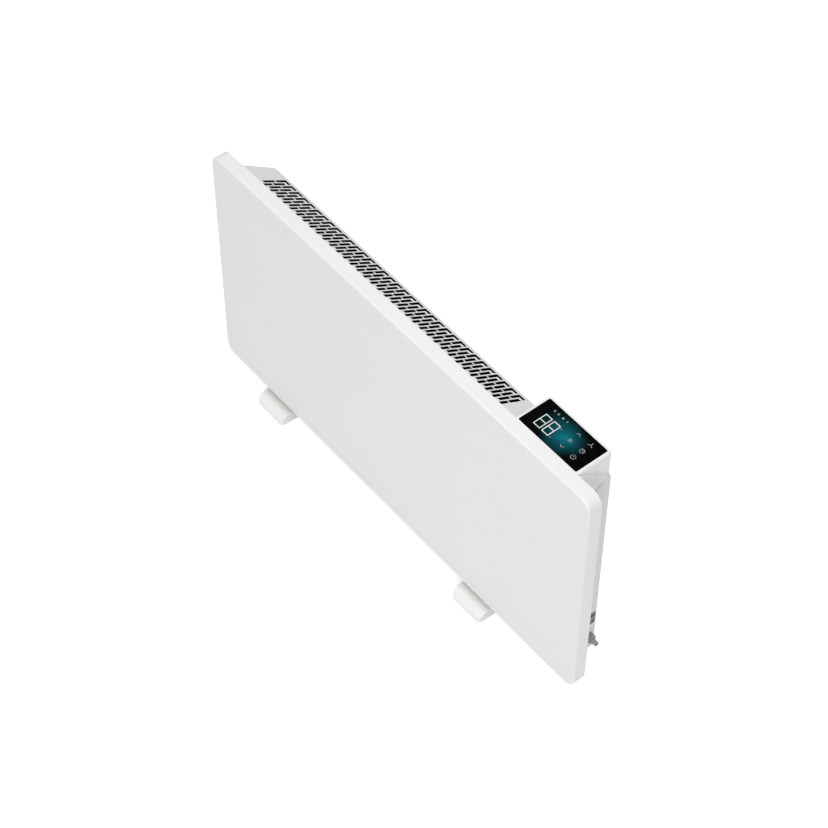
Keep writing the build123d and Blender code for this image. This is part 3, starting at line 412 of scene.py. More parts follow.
# ---- Rear casing's sizes, which its paint needs too ----
casing = {
    "depth": 59.5 * mm, "slopeDrop": 42.5 * mm, "halfWidth": 370 * mm, "sheet": 1.2 * mm,
    "bendRound": (1.8 * mm, 4), "mouthLow": 46 * mm, "mouthHigh": 441.5 * mm, "flangeHalf": 384 * mm,
    "flangeLow": 46 * mm, "flangeHigh": 424 * mm, "flangeRound": (2.5 * mm, 5),
    "podMouthLeft": 256.2 * mm, "podMouthRear": 69.1 * mm, "cheekDrop": 76.8 * mm,
    "slotWallDepth": 0.12 * mm, "slotWallMargin": 2.5 * mm,
}
grille = {
    "count": 35, "pitch": 15.46 * mm, "left": -328.2 * mm, "lean": 6.0, "slotWidth": 5.4 * mm,
    "legReach": 12.8 * mm, "legWidth": 6.5 * mm, "start": 9 * mm, "slotLength": 27 * mm, "gap": 2.8 * mm,
    "shift": 13.3 * mm, "frontEdge": 1.8 * mm, "rearEnd": 64.5 * mm,
}
slopeLength = math.hypot(casing["depth"], casing["slopeDrop"])
slopeAlong = Vector((0.0, casing["depth"], -casing["slopeDrop"])).normalized()
slopeNormal = Vector((0.0, -slopeAlong.z, slopeAlong.y))
slopeFront = Vector((0.0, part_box("rear_casing")[0].y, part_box("rear_casing")[1].z))


def onSlope(x, distance):
    return slopeFront + Vector((x, 0, 0)) + slopeAlong * distance


# the seam between the casing's side and the pod's cheek
seamFront = slopeFront - Vector((0, 0, casing["cheekDrop"]))
seamRear = onSlope(0, casing["podMouthRear"])
seamNormal = Vector((1, 0, 0)).cross(seamRear - seamFront).normalized()

# ---- Paint ----
paint = {
    # the casing's tone is darker than the panel's as painted shade, where the casing sits behind the panel
    "panelTone": gray(0.80), "casingTone": gray(0.75), "roughness": 0.42, "unevenness": 0.015,
    # the inside tone is near black, as painted shade for the insides seen through the slots
    "grainDepth": 0.00006, "innerTone": gray(0.004), "specular": 0.4,
    "innerMargin": 12 * mm, "innerDepth": 1.16 * mm,
}


def makePaint(name, tone):
    shaderValues = {"Specular IOR Level": paint["specular"]}
    inputs = {"Tone": tone, "Unevenness": paint["unevenness"], "Roughness": paint["roughness"]}
    return finishedMaterial(name, shaderValues, powderGroup, inputs, paint["grainDepth"])


def paintInsideShade(tree, shader, inside):
    # inside is a mask; there black stands as painted shade for the dark insides seen through the slots,
    # dull and metallic, which reflects least, so that the slots stay dark
    outside = shader.inputs["Base Color"].links[0].from_socket
    tree.links.new(addBlend(tree, inside, outside, paint["innerTone"]), shader.inputs["Base Color"])
    sheen = addMath(tree, "MAXIMUM", shader.inputs["Roughness"].links[0].from_socket, inside)
    tree.links.new(sheen, shader.inputs["Roughness"])
    tree.links.new(inside, shader.inputs["Metallic"])


def makePanelPaint():
    # white outside; black as painted shade on the tray's inner faces, which are seen through the grille
    material, tree, shader = makePaint("panelPaint", paint["panelTone"])
    low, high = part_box("front_panel")
    split = addNode(tree, "ShaderNodeSeparateXYZ", {0: objectPlace(tree)}).outputs
    middle, half = (low + high) / 2, (high - low) / 2
    inside = 1.0
    for axis, margin in ((across, "innerMargin"), (deep, "innerDepth"), (upward, "innerMargin")):
        away = addMath(tree, "ABSOLUTE", addMath(tree, "SUBTRACT", split[axis], middle[axis]))
        within = addMath(tree, "LESS_THAN", away, half[axis] - paint[margin])
        inside = addMath(tree, "MULTIPLY", within, inside)
    paintInsideShade(tree, shader, inside)
    return material


def makeCasingPaint():
    # white outside; black as painted shade inside the box and on the walls of the grille's slots
    material, tree, shader = makePaint("casingPaint", paint["casingTone"])
    low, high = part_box("rear_casing")
    place = objectPlace(tree)
    split = addNode(tree, "ShaderNodeSeparateXYZ", {0: place}).outputs
    overSlope = addVector(tree, "DOT_PRODUCT", {0: place, 1: slopeNormal}, "Value")
    fromSlope = addMath(tree, "SUBTRACT", slopeNormal.dot(slopeFront), overSlope)
    sides = addMath(tree, "SUBTRACT", casing["halfWidth"], addMath(tree, "ABSOLUTE", split[across]))
    sides = addMath(tree, "MINIMUM", sides, addMath(tree, "SUBTRACT", high.y, split[deep]))
    sides = addMath(tree, "MINIMUM", sides, addMath(tree, "SUBTRACT", split[upward], low.z))
    within = addMath(tree, "GREATER_THAN", addMath(tree, "MINIMUM", sides, fromSlope), paint["innerDepth"])
    slotWall = addMath(
        tree, "MULTIPLY", addMath(tree, "GREATER_THAN", fromSlope, casing["slotWallDepth"]),
        addMath(tree, "GREATER_THAN", sides, casing["slotWallMargin"]),
    )
    paintInsideShade(tree, shader, addMath(tree, "MAXIMUM", within, slotWall))
    return material


# ---- Plastics, rubber and metals ----
plastics = {  # tone, shade and roughness, and where they differ the grain's depth and the specular level
    "white_plastic": (gray(0.80), gray(0.77), 0.38),
    "foot_plastic": ((0.9, 0.885, 0.865, 1.0), (0.87, 0.855, 0.83, 1.0), 0.45),
    "grey_plastic": (gray(0.32), gray(0.26), 0.4),
    "dark_plastic": (gray(0.06), gray(0.045), 0.3),
    "ivory_plastic": ((0.72, 0.67, 0.55, 1.0), (0.64, 0.58, 0.46, 1.0), 0.5),
    "ceramic": ((0.78, 0.75, 0.68, 1.0), (0.7, 0.66, 0.58, 1.0), 0.6, 0.00008),
    "black_rubber": (gray(0.03), gray(0.02), 0.7, 0.0001, 0.3),
    "grey_rubber": (gray(0.38), gray(0.31), 0.6, 0.00008, 0.35),
    "ribbon_sheath": (gray(0.42), gray(0.3), 0.5),
    "silicone_sheath": ((0.42, 0.05, 0.03, 1.0), (0.34, 0.04, 0.03, 1.0), 0.55),
    # the black paint is painted shade on inner parts seen through the grille's slots
    "black_paint": (gray(0.006), gray(0.004), 0.7, 0.00006, 0.05),
}
metals = {  # tone, dull tone and roughness, and the spangle of galvanised sheet
    "screw_steel": (gray(0.62), gray(0.42), 0.28),
    "galvanised_steel": (gray(0.6), gray(0.38), 0.38, 0.5),
    # the fins' aluminium is near black as painted shade, for fins seen through the grille's slots
    "fin_aluminium": (gray(0.02), gray(0.012), 0.6),
    "tube_steel": ((0.3, 0.27, 0.24, 1.0), (0.16, 0.13, 0.11, 1.0), 0.4),
    "brass_blade": ((0.72, 0.55, 0.28, 1.0), (0.5, 0.36, 0.17, 1.0), 0.3),
}


def makePlastic(name, tone, shade, roughness, grainDepth=0.00004, specular=0.45):
    inputs = {"Tone": tone, "Shade": shade, "Roughness": roughness}
    return finishedMaterial(name, {"Specular IOR Level": specular}, plasticGroup, inputs, grainDepth)[0]


def makeMetal(name, tone, dull, roughness, spangle=0.0):
    inputs = {"Tone": tone, "Dull": dull, "Roughness": roughness, "Spangle": spangle}
    return finishedMaterial(name, {"Metallic": 1.0}, metalGroup, inputs, bare["grainDepth"])[0]


def makeBoard():
    shaderValues = {"Specular IOR Level": board["specular"]}
    return finishedMaterial("greenBoard", shaderValues, boardGroup, {}, board["trackDepth"])[0]


# ---- Display glass ----
display = {
    "glowCenter": (0.3085, 0.0078), "glowRadius": 0.035,
    "sideGlowCenter": (0.286, 0.0135), "sideGlowRadius": 0.032,
    "glowColor": (0.004, 0.18, 0.225, 1.0), "sideGlowColor": (0.001, 0.06, 0.062, 1.0), "glowFalloff": 1.6,
    "wispScale": 45.0, "wispPull": 0.016, "smudgeScale": 60.0, "sheen": (0.05, 0.14), "specular": 0.02,
    "glassColor": gray(0.0005), "smudgeColor": gray(0.002),
    "digitColors": (gray(1.0), (0.7, 0.74, 0.78, 1.0)),
    "iconColors": ((0.43, 0.43, 0.49, 1.0), (0.27, 0.27, 0.33, 1.0)), "unevenScale": 240.0,
    "markSheen": 0.3, "markBase": gray(0.02),
}


def makeDisplayGlass():
    # black glass over a backlit panel: two soft teal pools, drawn out by noise
    material, tree, shader = newMaterial("displayGlass", {
        "Specular IOR Level": display["specular"], "Emission Strength": 1.0,
    })
    place = objectPlace(tree)
    smudge = addNoise(tree, place, display["smudgeScale"], 3.0)
    wisps = addNoise(tree, place, display["wispScale"], 3.0, "Color")
    pull = addVector(tree, "SUBTRACT", {0: wisps, 1: (0.5, 0.5, 0.5)})
    drawn = addVector(tree, "SCALE", {0: pull, "Scale": display["wispPull"]})
    moved = addVector(tree, "ADD", {0: place, 1: drawn})
    glow = gray(0.0)
    for pool in ("sideGlow", "glow"):
        center = (*display[pool + "Center"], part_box("touch_glass")[1].z)
        away = addVector(tree, "DISTANCE", {0: moved, 1: center}, "Value")
        fade = addRange(tree, away, 0.0, display[pool + "Radius"], 1.0, 0.0)
        soft = addMath(tree, "POWER", fade, display["glowFalloff"])
        glow = addBlend(tree, soft, glow, display[pool + "Color"])
    tree.links.new(glow, shader.inputs["Emission Color"])
    tint = addBlend(tree, addRange(tree, smudge, 0.4, 0.8), display["glassColor"], display["smudgeColor"])
    tree.links.new(tint, shader.inputs["Base Color"])
    tree.links.new(addRange(tree, smudge, 0.3, 0.8, *display["sheen"]), shader.inputs["Roughness"])
    return material


def makeLitMarks(name, colors):
    # lit marks: slightly uneven, as light comes through a printed mask
    material, tree, shader = newMaterial(name, {
        "Emission Strength": 1.0, "Roughness": display["markSheen"], "Base Color": display["markBase"],
    })
    uneven = addRange(tree, addNoise(tree, objectPlace(tree), display["unevenScale"]), 0.3, 0.8)
    tree.links.new(addBlend(tree, uneven, *display[colors]), shader.inputs["Emission Color"])
    return material


materialOfSlot = {
    "panel_paint": makePanelPaint(), "casing_paint": makeCasingPaint(),
    "green_board": makeBoard(), "black_glass": makeDisplayGlass(),
}
for slot, values in plastics.items():
    materialOfSlot[slot] = makePlastic(camelName(slot), *values)
for slot, values in metals.items():
    materialOfSlot[slot] = makeMetal(camelName(slot), *values)
litDigits = makeLitMarks("litDigits", "digitColors")
litIcons = makeLitMarks("litIcons", "iconColors")
for node, slot in slotOfNode.items():
    mesh = nodes[node].data
    mesh.materials.clear()
    mesh.materials.append(materialOfSlot[slot])
print("materials made:", len(bpy.data.materials))

# ---- Front panel ----
panel = {
    "cornerRound": (20 * mm, 16), "edgeRound": (4 * mm, 6), "sheet": 1.2 * mm,
    "mouthHalf": 354 * mm, "mouthLow": 46 * mm, "mouthHigh": 441.5 * mm,
}


def makeFrontPanel():
    low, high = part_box("front_panel")
    bm = bmesh.new()
    addBox(bm, low, high)
    roundEdges(bm, edgesAlong(bm, deep), *panel["cornerRound"])
    roundEdges(bm, edgesWhere(bm, lambda co: near(co.y, low.y)), *panel["edgeRound"])
    middle = Vector((0, high.y, (panel["mouthLow"] + panel["mouthHigh"]) / 2))
    reach = (panel["mouthHalf"], (panel["mouthHigh"] - panel["mouthLow"]) / 2)
    openWindow(bm, middle, squareCuts(middle, (across, upward), reach))
    finishNode(bm, "front_panel", wall=panel["sheet"])


makeFrontPanel()
print("front panel made")

# ---- Rear casing ----
openings = {
    "intakeCount": 17, "intakePitch": 22 * mm, "intakeMiddle": (-42 * mm, 11.25 * mm),
    "intakeHalf": (2.5 * mm, 19 * mm), "hookSpread": 120 * mm, "hookMiddle": 303 * mm,
    "hookHalf": (11 * mm, 7 * mm), "switchPlace": (31.7 * mm, 93 * mm), "switchHalf": (5.4 * mm, 11.9 * mm),
    "glandPlace": (28 * mm, 51.5 * mm), "glandRadius": 6.1 * mm, "glandSides": 24, "screwRadius": 2.05 * mm,
}


def grilleSlots():
    # left edge at the top of the slope, width, start and end of each slot
    second = grille["start"] + grille["slotLength"] + grille["gap"]
    shifted = second - grille["shift"]
    width = grille["slotWidth"]
    slots = []
    for index in range(grille["count"]):
        x = grille["left"] + index * grille["pitch"]
        slots.append((x, width, grille["start"], second - grille["gap"]))
        slots.append((x, width, second, grille["rearEnd"]))
        slots.append((x, grille["legReach"], grille["rearEnd"] - grille["legWidth"], grille["rearEnd"]))
        x += grille["pitch"] / 2
        slots.append((x, width, grille["frontEdge"], shifted - grille["gap"]))
        slots.append((x, width, shifted, shifted + grille["slotLength"]))
    return slots


def cutGrille(bm):
    lean = math.radians(grille["lean"])
    slots = grilleSlots()
    columns = sorted({round(x + reach, 7) for x, width, start, end in slots for reach in (0, width)})
    rows = sorted({round(edge, 7) for x, width, start, end in slots for edge in (start, end)})
    normal = Vector((math.cos(lean), 0, 0)) + slopeAlong * math.sin(lean)
    cuts = [(onSlope(x, 0), normal) for x in columns] + [(onSlope(0, row), slopeAlong) for row in rows]
    holes = []
    for part in cutFaces(bm, [faceAt(bm, onSlope(0, slopeLength / 2))], cuts):
        center = part.calc_center_median()
        distance = (center - slopeFront).dot(slopeAlong)
        x = center.x + distance * math.tan(lean)
        if any(left < x < left + width and start < distance < end for left, width, start, end in slots):
            holes.append(part)
    bmesh.ops.delete(bm, geom=holes, context="FACES")


def cutPodMouth(bm):
    # opens the corner that the pod closes: the slope's right end and a triangle of the side
    mouthLeft = casing["podMouthLeft"]
    corner = [face for face in bm.faces if face.calc_center_median().x > mouthLeft]
    corner.append(faceAt(bm, onSlope(mouthLeft, slopeLength / 2)))
    cuts = [(onSlope(mouthLeft, 0), (1, 0, 0)), (seamRear, slopeAlong), (seamRear, seamNormal)]
    opened = []
    for face in cutFaces(bm, corner, cuts):
        center = face.calc_center_median()
        distance = (center - slopeFront).dot(slopeAlong)
        if center.x > mouthLeft and distance < casing["podMouthRear"] and center.y > slopeFront.y + 1e-6:
            if (center - seamRear).dot(seamNormal) > 1e-6:
                opened.append(face)
    bmesh.ops.delete(bm, geom=opened, context="FACES")


def screwPlaces(node, axis, level):
    # middle of each screw of a node, on the plane across the screw at this level
    bm = copySolid(node)
    places, left = [], dict.fromkeys(bm.verts)
    while left:
        island = [left.popitem()[0]]
        for vert in island:  # the list grows while it is walked
            for edge in vert.link_edges:
                other = edge.other_vert(vert)
                if other in left:
                    del left[other]
                    island.append(other)
        middle = sum((vert.co for vert in island), Vector()) / len(island)
        middle[axis] = level
        places.append(middle)
    bm.free()
    return places


def cutOpenings(bm):
    low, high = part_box("rear_casing")
    middle, y = openings["intakeMiddle"]
    for index in range(openings["intakeCount"]):
        x = middle + (index - (openings["intakeCount"] - 1) / 2) * openings["intakePitch"]
        openWindow(bm, (x, y, low.z), squareCuts((x, y, low.z), (across, deep), openings["intakeHalf"]))
    for side in (-1, 1):
        point = (side * openings["hookSpread"], high.y, openings["hookMiddle"])
        openWindow(bm, point, squareCuts(point, (across, upward), openings["hookHalf"]))
    point = (casing["halfWidth"], *openings["switchPlace"])
    openWindow(bm, point, squareCuts(point, (deep, upward), openings["switchHalf"]))
    point = (casing["halfWidth"], *openings["glandPlace"])
    openWindow(bm, point, roundCuts(point, across, openings["glandRadius"], openings["glandSides"]))
    for node, axis, level in (("inner_screws", deep, high.y), ("earth_screw", upward, low.z)):
        for point in screwPlaces(node, axis, level):
            openWindow(bm, point, roundCuts(point, axis, openings["screwRadius"]))


def makeCasing():
    low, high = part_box("rear_casing")
    left = Vector((-casing["halfWidth"], 0, 0))
    bm = bmesh.new()
    outline = [(0, low.y, low.z), (0, high.y, low.z), onSlope(0, slopeLength), slopeFront]
    addPrism(bm, [left + Vector(point) for point in outline], left * -2)
    bends = [
        edge for edge in bm.edges
        if not all(near(vert.co.y, low.y) for vert in edge.verts)
        or all(near(vert.co.z, low.z) for vert in edge.verts)
    ]
    roundEdges(bm, bends, *casing["bendRound"])
    ends = [(0, low.y, casing["mouthLow"]), (0, low.y, casing["mouthHigh"])]
    openWindow(bm, (Vector(ends[0]) + Vector(ends[1])) / 2, windowCuts((upward,), *ends))
    cutOpenings(bm)
    cutGrille(bm)
    cutPodMouth(bm)
    finishNode(bm, "rear_casing", wall=casing["sheet"])


def makeFlanges():
    # the casing's side flanges, screwed to the back of the panel
    front = slopeFront.y
    bm = bmesh.new()
    for side in (-1, 1):
        inner, outer = side * (casing["halfWidth"] - casing["sheet"]), side * casing["flangeHalf"]
        addBox(bm, (min(inner, outer), front, casing["flangeLow"]),
               (max(inner, outer), front + casing["sheet"], casing["flangeHigh"]))
    corners = edgesAlong(bm, deep, lambda co: near(abs(co.x), casing["flangeHalf"]))
    roundEdges(bm, corners, *casing["flangeRound"])
    finishPiece(bm, "casingFlanges", materialOfSlot["casing_paint"], "casing_paint")


makeCasing()
makeFlanges()
print("rear casing made:", grille["count"], "hooked slots")

# ---- Control pod ----
pod = {
    "right": 365.5 * mm, "left": 241.2 * mm, "wall": 1.2 * mm, "sunk": 5 * mm, "cornerRound": (4 * mm, 8),
    "topRound": (2.2 * mm, 6), "glassGap": 0.15 * mm, "glassRound": (2.2 * mm, 6),
    "glassEdgeRound": (0.25 * mm, 2), "cheekEnds": (1.5 * mm, 56.0 * mm), "cheekOverlap": 5 * mm,
    "cheekSeatRound": (2.2 * mm, 6), "cheekRound": (1.2 * mm, 6),
}


def slopeZ(y):
    return slopeFront.z - (y - slopeFront.y) * casing["slopeDrop"] / casing["depth"]


def addCheek(bm):
    # runs the housing's right side out over the slope and down behind the casing's side
    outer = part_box("pod_housing")[1].x
    front, rear = (slopeFront.y + end for end in pod["cheekEnds"])
    side = faceAt(bm, Vector((pod["right"], (front + rear) / 2, slopeZ(front))))
    cutFaces(bm, [side], windowCuts((deep,), (0, front, 0), (0, rear, 0)))

    def onSeat(x):
        return lambda co: near(co.x, x) and near(co.z, slopeZ(co.y)) and front - 1e-6 < co.y < rear + 1e-6

    def grow(edges, offset):
        made = bmesh.ops.extrude_edge_only(bm, edges=edges)
        verts = moveNew(bm, made, offset)
        return [part for part in made["geom"] if isinstance(part, bmesh.types.BMEdge) and part.is_boundary
                and all(vert in verts for vert in part.verts)]

    seat = edgesWhere(bm, onSeat(pod["right"]))
    rim = grow(seat, (outer - pod["right"], 0, 0))
    grow(rim, (0, 0, -casing["cheekDrop"] - casing["depth"]))
    roundEdges(bm, seat, *pod["cheekSeatRound"])
    roundEdges(bm, edgesWhere(bm, onSeat(outer)), *pod["cheekRound"])
    cheek = [face for face in bm.faces if all(near(vert.co.x, outer) for vert in face.verts)]
    cutFaces(bm, cheek, [(seamFront - Vector((0, 0, pod["cheekOverlap"])), seamNormal)], clearInner=True)


def makePodHousing():
    low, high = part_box("pod_housing")
    glassLow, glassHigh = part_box("touch_glass")
    bm = bmesh.new()
    addBox(bm, (pod["left"], low.y, slopeZ(high.y) - pod["sunk"]), (pod["right"], high.y, high.z))
    cutFaces(bm, bm.faces[:], [(slopeFront, slopeNormal)], clearInner=True)
    rear = edgesAlong(bm, upward, lambda co: near(co.y, high.y))
    roundEdges(bm, rear, *pod["cornerRound"])
    rim = [
        edge for edge in edgesWhere(bm, lambda co: near(co.z, high.z))
        if not all(near(vert.co.y, low.y) for vert in edge.verts)
    ]
    roundEdges(bm, rim, *pod["topRound"])
    gap = Vector((pod["glassGap"], pod["glassGap"], 0))
    recessLow, recessHigh = glassLow - gap, glassHigh + gap
    middle = (recessLow + recessHigh) / 2
    middle.z = high.z
    recess = windowCuts((across, deep), recessLow, recessHigh)
    pushWindow(bm, middle, recess, (0, 0, glassLow.z - high.z))
    corners = edgesAlong(bm, upward, lambda co: recessLow.y - 1e-5 < co.y < recessHigh.y + 1e-5
                         and recessLow.x - 1e-5 < co.x < recessHigh.x + 1e-5 and co.z > glassLow.z - 1e-5)
    radius, segments = pod["glassRound"]
    roundEdges(bm, corners, radius + pod["glassGap"], segments)
    addCheek(bm)
    finishNode(bm, "pod_housing", wall=pod["wall"])


def makeTouchGlass():
    low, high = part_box("touch_glass")
    high.z -= marks["lift"]
    bm = bmesh.new()
    addBox(bm, low, high)
    roundEdges(bm, edgesAlong(bm, upward), *pod["glassRound"])
    roundEdges(bm, edgesWhere(bm, lambda co: near(co.z, high.z)), *pod["glassEdgeRound"])
    finishNode(bm, "touch_glass")


# ---- Lit marks on the glass, placed from the glass's front left corner ----
marks = {
    "lift": 0.05 * mm, "digitStroke": 1.2 * mm, "iconStroke": 0.65 * mm,
    "digitSize": (12.9 * mm, 12.6 * mm), "digitPlaces": ((17.1 * mm, 11.0 * mm), (33.4 * mm, 11.0 * mm)),
    "columnX": 70.9 * mm, "columnY": (14.1 * mm, 29.2 * mm, 44.8 * mm), "chevron": 3.4 * mm,
    "listBars": ((-2.6 * mm, 1.2 * mm), (1.9 * mm, 3.0 * mm)), "listGap": 2.0 * mm,
    "ringX": 94.1 * mm, "ringY": (13.9 * mm, 29.5 * mm, 44.9 * mm), "ringRadius": 3.9 * mm,
    "powerGap": 70.0, "powerStem": 1.1, "clockHands": (0.6, 0.5), "fanArms": 3,
    "dotX": (20.6 * mm, 28.1 * mm, 37.1 * mm, 45.5 * mm), "dotY": 46.8 * mm, "dotRadius": 1.6 * mm,
    "degreePlace": (49.5 * mm, 32.6 * mm), "unitPlace": (50.0 * mm, 12.4 * mm), "unitRadius": 1.0 * mm,
    "ringSegments": 28, "dotSegments": 20, "smallSegments": 12,
}


def addPlate(bm, corners):
    face = bm.faces.new([bm.verts.new(point) for point in corners])
    face.normal_update()
    if face.normal.z < 0:
        face.normal_flip()
    return face


def addFrame(bm, corner, size, stroke):
    wide, tall = Vector((size[0], 0, 0)), Vector((0, size[1], 0))
    face = addPlate(bm, [corner, corner + wide, corner + wide + tall, corner + tall])
    bmesh.ops.inset_region(bm, faces=[face], thickness=stroke, use_even_offset=True, use_boundary=True)
    bmesh.ops.delete(bm, geom=[face], context="FACES")


def addBar(bm, middle, start, end, stroke):
    # a straight stroke between two points, both measured from the icon's middle
    first, last = (middle + Vector((*point, 0)) for point in (start, end))
    side = (last - first).normalized().cross(Vector((0, 0, 1))) * stroke / 2
    addPlate(bm, [first - side, last - side, last + side, first + side])


def addRing(bm, middle, radius, stroke, segments, openAngle=0.0):
    # a flat ring, with a gap at its top where openAngle isn't nought
    ends = [bm.verts.new(middle + Vector((0, reach, 0))) for reach in (radius, radius - stroke)]
    edge = bm.edges.new(ends)
    gap = math.radians(openAngle)
    bmesh.ops.rotate(bm, cent=middle, matrix=Matrix.Rotation(gap / 2, 3, "Z"), verts=ends)
    bmesh.ops.spin(
        bm, geom=[*ends, edge], cent=middle, axis=(0, 0, 1),
        angle=2 * math.pi - gap, steps=segments, use_merge=openAngle == 0.0,
    )


def addDisc(bm, middle, radius, segments):
    made = bmesh.ops.create_circle(bm, cap_ends=True, radius=radius, segments=segments)["verts"]
    bmesh.ops.translate(bm, vec=middle, verts=made)


def onGlass(x, y):
    # a point on the level that the marks are drawn on
    low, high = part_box("touch_glass")
    return Vector((low.x + x, low.y + y, high.z - marks["lift"] / 2))


def finishMarks(bm, name, material):
    # gives flat marks their thickness, down into the glass
    moveNew(bm, bmesh.ops.extrude_face_region(bm, geom=bm.faces[:]), (0, 0, -marks["lift"]))
    finishPiece(bm, name, material, "white_plastic", even=False)


def makeDigits():
    width, height = marks["digitSize"]
    stroke = marks["digitStroke"]
    bm = bmesh.new()
    for x, y in marks["digitPlaces"]:
        for level in (0, 1):
            addFrame(bm, onGlass(x, y + level * (height - stroke)), (width, height), stroke)
    finishMarks(bm, "displayDigits", litDigits)


def makeIcons():
    thin, radius, arm = marks["iconStroke"], marks["ringRadius"], marks["chevron"]
    ringSegments, smallSegments = marks["ringSegments"], marks["smallSegments"]
    lowest, middle, highest = (onGlass(marks["columnX"], y) for y in marks["columnY"])
    power, clock, fan = (onGlass(marks["ringX"], y) for y in marks["ringY"])
    bm = bmesh.new()
    for chevron, sign in ((lowest, -1), (highest, 1)):
        for side in (-1, 1):
            addBar(bm, chevron, (side * arm, -sign * arm / 2), (0, sign * arm / 2), thin)
    for level in (-1, 0, 1):
        y = level * marks["listGap"]
        for start, end in marks["listBars"]:
            addBar(bm, middle, (start, y), (end, y), thin)
    addRing(bm, power, radius, thin, ringSegments, marks["powerGap"])
    addBar(bm, power, (0, 0), (0, radius * marks["powerStem"]), thin)
    addRing(bm, clock, radius, thin, ringSegments)
    upHand, sideHand = (radius * share for share in marks["clockHands"])
    addBar(bm, clock, (0, -thin / 2), (0, upHand), thin)
    addBar(bm, clock, (-thin / 2, 0), (sideHand, 0), thin)
    for index in range(marks["fanArms"]):
        angle = math.pi / 2 + 2 * math.pi * index / marks["fanArms"]
        tip = (radius * math.cos(angle), radius * math.sin(angle))
        addBar(bm, fan, (0, 0), tip, thin)
        addDisc(bm, fan + Vector((*tip, 0)), thin, smallSegments)
    firstDot, secondDot, thirdDot, lastDot = (onGlass(x, marks["dotY"]) for x in marks["dotX"])
    for dot in (firstDot, secondDot):
        addRing(bm, dot, marks["dotRadius"], thin, marks["dotSegments"])
    addDisc(bm, thirdDot, marks["dotRadius"], marks["dotSegments"])
    addDisc(bm, lastDot, marks["dotRadius"], 3)
    addRing(bm, onGlass(*marks["degreePlace"]), marks["unitRadius"], thin * 0.7, 16)
    addDisc(bm, onGlass(*marks["unitPlace"]), marks["unitRadius"] * 0.8, smallSegments)
    finishMarks(bm, "displayIcons", litIcons)


makePodHousing()
makeTouchGlass()
makeDigits()
makeIcons()
print("control pod and display made")

# ---- Mains switch ----
switch = {
    "bezelDepth": 1.2 * mm, "bezelRound": (1.2 * mm, 6), "bezelEdgeRound": (0.4 * mm, 4),
    "bodyHalf": (5.3 * mm, 11.8 * mm),
    "wellHalf": (4.25 * mm, 10.3 * mm), "wellDepth": 9.4 * mm, "pinRadius": 1.3 * mm, "pinHole": 1.36 * mm,
    "pinHoleDepth": 0.95 * mm, "pinReach": 5.1 * mm, "pinSides": 16,
    "pivot": (368.5 * mm, 31.7 * mm, 93 * mm), "rockerHalf": 4.0 * mm, "rockerRadius": 10 * mm,
    "rockerDepth": 4 * mm, "faceRise": 2.8 * mm,
    "faceAngle": 8.0, "drumSteps": 10, "valleyRound": (3.5 * mm, 6), "crestRound": (0.7 * mm, 4),
    "rimRound": (0.4 * mm, 3), "rimDepth": 2 * mm, "sharpAngle": 50.0,
}


def makeSwitchBody():
    low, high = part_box("switch_body")
    side = high.x - switch["bezelDepth"]
    back = Vector((side, (low.y + high.y) / 2, (low.z + high.z) / 2))
    front = Vector((high.x, back.y, back.z))
    bm = bmesh.new()
    addBox(bm, (side, low.y, low.z), high)
    roundEdges(bm, edgesAlong(bm, across), *switch["bezelRound"])
    roundEdges(bm, edgesWhere(bm, lambda co: near(co.x, high.x)), *switch["bezelEdgeRound"])
    pushWindow(bm, back, squareCuts(back, (deep, upward), switch["bodyHalf"]), (low.x - side, 0, 0))
    well = squareCuts(front, (deep, upward), switch["wellHalf"])
    pushWindow(bm, front, well, (-switch["wellDepth"], 0, 0))
    for sign in (-1, 1):
        point = Vector(switch["pivot"]) + Vector((0, sign * switch["wellHalf"][0], 0))
        hole = roundCuts(point, deep, switch["pinHole"], switch["pinSides"])
        pushWindow(bm, point, hole, (0, sign * switch["pinHoleDepth"], 0))
    finishNode(bm, "switch_body")


def makeRocker():
    # a drum cut to a shallow V, drawn about its axle and then tipped with its lower end pressed
    radius, half = switch["rockerRadius"], switch["rockerHalf"]
    slant = math.tan(math.radians(switch["faceAngle"]))
    waist = switch["faceRise"] - radius * slant / 2
    spread = 1 + slant * slant
    tip = (math.sqrt((waist * slant) ** 2 - spread * (waist ** 2 - radius ** 2)) - waist * slant) / spread
    first = math.atan2(tip, waist + slant * tip)
    last = math.acos(-switch["rockerDepth"] / radius)
    steps = switch["drumSteps"]
    turns = [first + (last - first) * step / steps for step in range(steps + 1)]
    upper = [(radius * math.cos(turn), radius * math.sin(turn)) for turn in turns]
    lower = [(x, -z) for x, z in reversed(upper)]
    bm = bmesh.new()
    addPrism(bm, [(x, -half, z) for x, z in upper + lower + [(waist, 0.0)]], (0, 2 * half, 0))
    valley = edgesAlong(bm, deep, lambda co: near(co.x, waist) and near(co.z, 0))
    roundEdges(bm, valley, *switch["valleyRound"])
    crests = edgesAlong(bm, deep, lambda co: near(abs(co.z), tip))
    roundEdges(bm, crests, *switch["crestRound"])
    rims = [
        edge for edge in edgesWhere(bm, lambda co: near(abs(co.y), half) and co.x > -switch["rimDepth"])
        if near(edge.verts[0].co.y, edge.verts[1].co.y)
    ]
    roundEdges(bm, rims, *switch["rimRound"])
    for sign in (-1, 1):
        point = Vector((0, sign * half, 0))
        pin = roundCuts(point, deep, switch["pinRadius"], switch["pinSides"])
        pushWindow(bm, point, pin, (0, sign * (switch["pinReach"] - half), 0))
    tipped = Matrix.Rotation(math.radians(switch["faceAngle"]), 4, "Y")
    bmesh.ops.transform(bm, matrix=Matrix.Translation(Vector(switch["pivot"])) @ tipped, verts=bm.verts)
    finishNode(bm, "switch_rocker", body="rocker", sharpAngle=switch["sharpAngle"])


makeSwitchBody()
makeRocker()
print("mains switch made")

